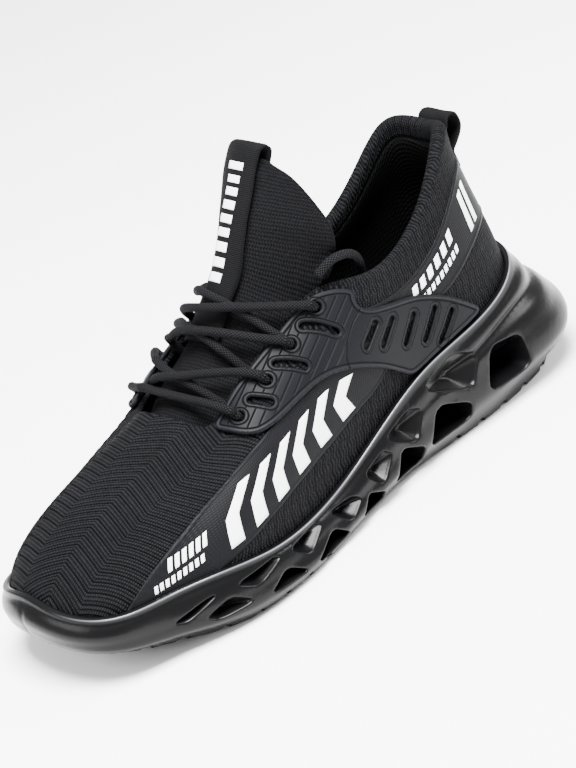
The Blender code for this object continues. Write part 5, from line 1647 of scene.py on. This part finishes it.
def strand_path(strand, supports, below):
    """A strand's middle line: laid across the tongue, then drawn straighter and lifted off its supports."""
    points, normals = supports
    radius = LACE_RADIUS
    off = radius + LACE_CLEARANCE
    first, *rows, last = strand
    across = np.array(LACE_ACROSS)
    keep = np.ones(5, bool)
    keep[0], keep[4] = first == 0, last == 0
    rows, across = np.array(rows)[keep], across[keep]
    lift = off + (WEBBING + GAP + TAB_SLACK) * (np.abs(across) < 0.5)
    if below is not None:
        lift = lift + 2 * radius * (np.abs(across) < 0.5)
    path = [tongue_point(rows, across) + lift[:, None] * tongue_normal(rows, across)]
    if first:
        path.insert(0, eyelet_end(first, -1, off))
    if last:
        path.append(eyelet_end(last, 1, off)[::-1])
    path = np.vstack(path)
    path = open_spline(path, np.linspace(0, len(path) - 1, 33))
    for _ in range(14):
        path[1:-1] += 0.3 * (path[:-2] + path[2:] - 2 * path[1:-1])
        near = np.linalg.norm(path[:, None] - points[None], axis=2).argmin(1)
        height = ((path - points[near]) * normals[near]).sum(1)
        path += np.maximum(off - height, 0)[:, None] * normals[near]
        if below is not None:
            away = path[:, None] - below[None]
            apart = np.linalg.norm(away, axis=2)
            close = apart.argmin(1)
            spot = np.arange(len(path))
            push = np.maximum(2 * radius - LACE_FUSE - apart[spot, close], 0)
            path += (push / apart[spot, close])[:, None] * away[spot, close]
            nearest = apart.min(1).argmin()
            slack = max(apart[nearest].min() - 2 * radius + LACE_FUSE, 0)
            fade = np.exp(-((path - path[nearest])**2).sum(1) / (2 * radius)**2)
            path -= slack * fade[:, None] * unit(away[nearest, close[nearest]])
    return path


def through_eyelet(row, side):
    """The points by which a strand bends down into its eyelet, from above it to behind the wall."""
    share = np.interp(row, *zip(*EYELETS))
    base, normal = last_point(side * row, share), last_normal(side * row, share)
    lean = unit(last_point(side * (row + LACE_LEAN), 0.975) - base)
    bend = ((3.3, 2.6), (2.4, 1.2), (0.6, 0.4), (-1.5, 0.1), (-3.5, 0.0))
    return np.stack([base + up * MM * normal + over * MM * lean for up, over in bend])


def full_strand(strand, path):
    """A strand's whole line: through its eyelet, or on under the eyestay where it has none in view."""
    parts = [path]
    if strand[0]:
        parts[0] = parts[0][1:]
        parts.insert(0, through_eyelet(strand[0], -1)[::-1])
    else:
        parts.insert(0, path[0] + np.array([[3.0], [1.5]]) * 2 * (path[0] - path[1]))
    if strand[-1]:
        parts[1] = parts[1][:-1]
        parts.append(through_eyelet(strand[-1], 1))
    else:
        parts.append(path[-1] + np.array([[1.5], [3.0]]) * 2 * (path[-1] - path[-2]))
    whole = np.vstack(parts)
    reach = lengths_along(whole)
    even = np.interp(np.arange(0, reach[-1], 0.9 * MM), reach, np.arange(len(whole)))
    return open_spline(whole, even)


def add_laces():
    """The round lace: every strand through its eyelets, and the free end with its tip."""
    supports = lace_supports()
    for name, strands in LACE_STRANDS.items():
        below = None
        for number, strand in enumerate(strands):
            path = strand_path(strand, supports, below)
            item = add_tube(name.replace("lace", "cord") + "_" + "ab"[number], full_strand(strand, path),
                            sizes().lace_radius, "braid")
            if number == 0:
                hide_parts(name)
                below = path
    add_lace_end()


def add_lace_end():
    """The free end, from under the eyestay's top over into the shoe, and the sleeve on its tip."""
    points = np.array(LACE_END) * MM
    path = open_spline(points, np.linspace(0, len(points) - 1, 60))
    item = add_tube("cord_end", path, sizes().lace_radius, "braid")
    sleeve = add_tube("cord_end_sleeve", path[-6:], 1.12 * sizes().lace_radius, "cage")
    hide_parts("lace_end")


def add_camera():
    """The photograph's camera: it stands at its place and is rolled as the photograph is."""
    data = bpy.data.cameras.new("photo_camera")
    data.sensor_fit = "VERTICAL"
    data.sensor_height = 36
    data.lens = CAMERA_LENS
    data.shift_x, data.shift_y = CAMERA_SHIFT
    data.clip_end = 20
    item = bpy.data.objects.new("photo_camera", data)
    right, top = np.array(CAMERA_RIGHT), np.array(CAMERA_TOP)
    turn = Matrix(np.stack([right, top, np.cross(right, top)], 1).tolist()).to_4x4()
    item.matrix_world = Matrix.Translation(CAMERA_PLACE) @ turn
    bpy.context.scene.collection.objects.link(item)
    bpy.context.scene.camera = item


def add_light(name, place, target, size, power):
    """A square soft light at a place that shines at a target."""
    data = bpy.data.lights.new(name, "AREA")
    data.shape = "SQUARE"
    data.size = size
    data.energy = power
    item = bpy.data.objects.new(name, data)
    item.location = place
    item.rotation_euler = (Vector(target) - Vector(place)).to_track_quat("-Z", "Y").to_euler()
    bpy.context.scene.collection.objects.link(item)


def add_stage():
    """A pale floor, a bright even surround and three soft lights."""
    points = np.array([(-1, -1, 0), (1, -1, 0), (1, 1, 0), (-1, 1, 0)]) * FLOOR_REACH
    mesh = bpy.data.meshes.new("floor")
    mesh.from_pydata(points.tolist(), [], [(0, 1, 2, 3)])
    mesh.materials.append(finish("floor"))
    floor = bpy.data.objects.new("floor", mesh)
    bpy.context.scene.collection.objects.link(floor)
    world = bpy.data.worlds.new("studio")
    world.use_nodes = True
    back = world.node_tree.nodes["Background"]
    back.inputs[0].default_value = (1, 1, 1, 1)
    back.inputs[1].default_value = 1.0
    bpy.context.scene.world = world
    for name, settings in LIGHTS.items():
        add_light(name, *settings)


class SNEAKER_OT_stage(Operator):
    """Add the camera, the floor and the studio light"""
    bl_idname = "sneaker.stage"
    bl_label = "Stage"

    def execute(self, context):
        add_camera()
        add_stage()
        return {"FINISHED"}


class SNEAKER_OT_laces(Operator):
    """Lace the shoe: strands through the eyelets and the free end"""
    bl_idname = "sneaker.laces"
    bl_label = "Laces"

    def execute(self, context):
        add_laces()
        return {"FINISHED"}


class SNEAKER_OT_upper(Operator):
    """Knit the upper over the last"""
    bl_idname = "sneaker.upper"
    bl_label = "Upper"

    def execute(self, context):
        add_upper()
        return {"FINISHED"}


class SNEAKER_OT_film(Operator):
    """Lay the films and their white bars on the upper"""
    bl_idname = "sneaker.film"
    bl_label = "Film and print"

    def execute(self, context):
        add_film()
        add_prints()
        return {"FINISHED"}


class SNEAKER_OT_cages(Operator):
    """Mould both cages"""
    bl_idname = "sneaker.cages"
    bl_label = "Cages"

    def execute(self, context):
        add_cages()
        return {"FINISHED"}


class SNEAKER_OT_sole(Operator):
    """Mould the sole with its openings and tread"""
    bl_idname = "sneaker.sole"
    bl_label = "Sole"

    def execute(self, context):
        add_sole()
        return {"FINISHED"}


class SNEAKER_OT_insole(Operator):
    """Lay the insole in the shoe"""
    bl_idname = "sneaker.insole"
    bl_label = "Insole"

    def execute(self, context):
        add_insole()
        return {"FINISHED"}


class SNEAKER_OT_tongue(Operator):
    """Pad and bind the tongue"""
    bl_idname = "sneaker.tongue"
    bl_label = "Tongue"

    def execute(self, context):
        add_tongue()
        return {"FINISHED"}


class SNEAKER_OT_tabs(Operator):
    """Sew the webbing tabs on tongue and heel"""
    bl_idname = "sneaker.tabs"
    bl_label = "Pull tabs"

    def execute(self, context):
        add_tabs()
        return {"FINISHED"}


STEPS = (SNEAKER_OT_stage, SNEAKER_OT_laces, SNEAKER_OT_upper, SNEAKER_OT_film, SNEAKER_OT_cages,
         SNEAKER_OT_sole, SNEAKER_OT_insole, SNEAKER_OT_tongue, SNEAKER_OT_tabs)


class SNEAKER_PT_sidebar(Panel):
    """The sneaker's steps, sizes and colours in the sidebar"""
    bl_idname = "SNEAKER_PT_sidebar"
    bl_label = "Safety sneaker"
    bl_space_type = "VIEW_3D"
    bl_region_type = "UI"
    bl_category = "Sneaker"

    def draw(self, context):
        for step in STEPS:
            self.layout.operator(step.bl_idname)
        for group in (context.scene.sneaker_sizes, context.scene.sneaker_colours):
            box = self.layout.box()
            for name in group.bl_rna.properties.keys():
                if name not in ("rna_type", "name"):
                    box.prop(group, name)


CLASSES = (SneakerSizes, SneakerColours, *STEPS, SNEAKER_PT_sidebar)


def register():
    """Register the classes and the settings."""
    for item in CLASSES:
        bpy.utils.register_class(item)
    bpy.types.Scene.sneaker_sizes = PointerProperty(type=SneakerSizes)
    bpy.types.Scene.sneaker_colours = PointerProperty(type=SneakerColours)


def unregister():
    """Take the settings and the classes away again."""
    del bpy.types.Scene.sneaker_colours
    del bpy.types.Scene.sneaker_sizes
    for item in reversed(CLASSES):
        bpy.utils.unregister_class(item)


def main():
    """Dress the shoe step by step."""
    register()
    bpy.ops.sneaker.stage()
    bpy.ops.sneaker.laces()
    bpy.ops.sneaker.upper()
    bpy.ops.sneaker.film()
    bpy.ops.sneaker.cages()
    bpy.ops.sneaker.sole()
    bpy.ops.sneaker.insole()
    bpy.ops.sneaker.tongue()
    bpy.ops.sneaker.tabs()


if __name__ == "__main__":
    main()
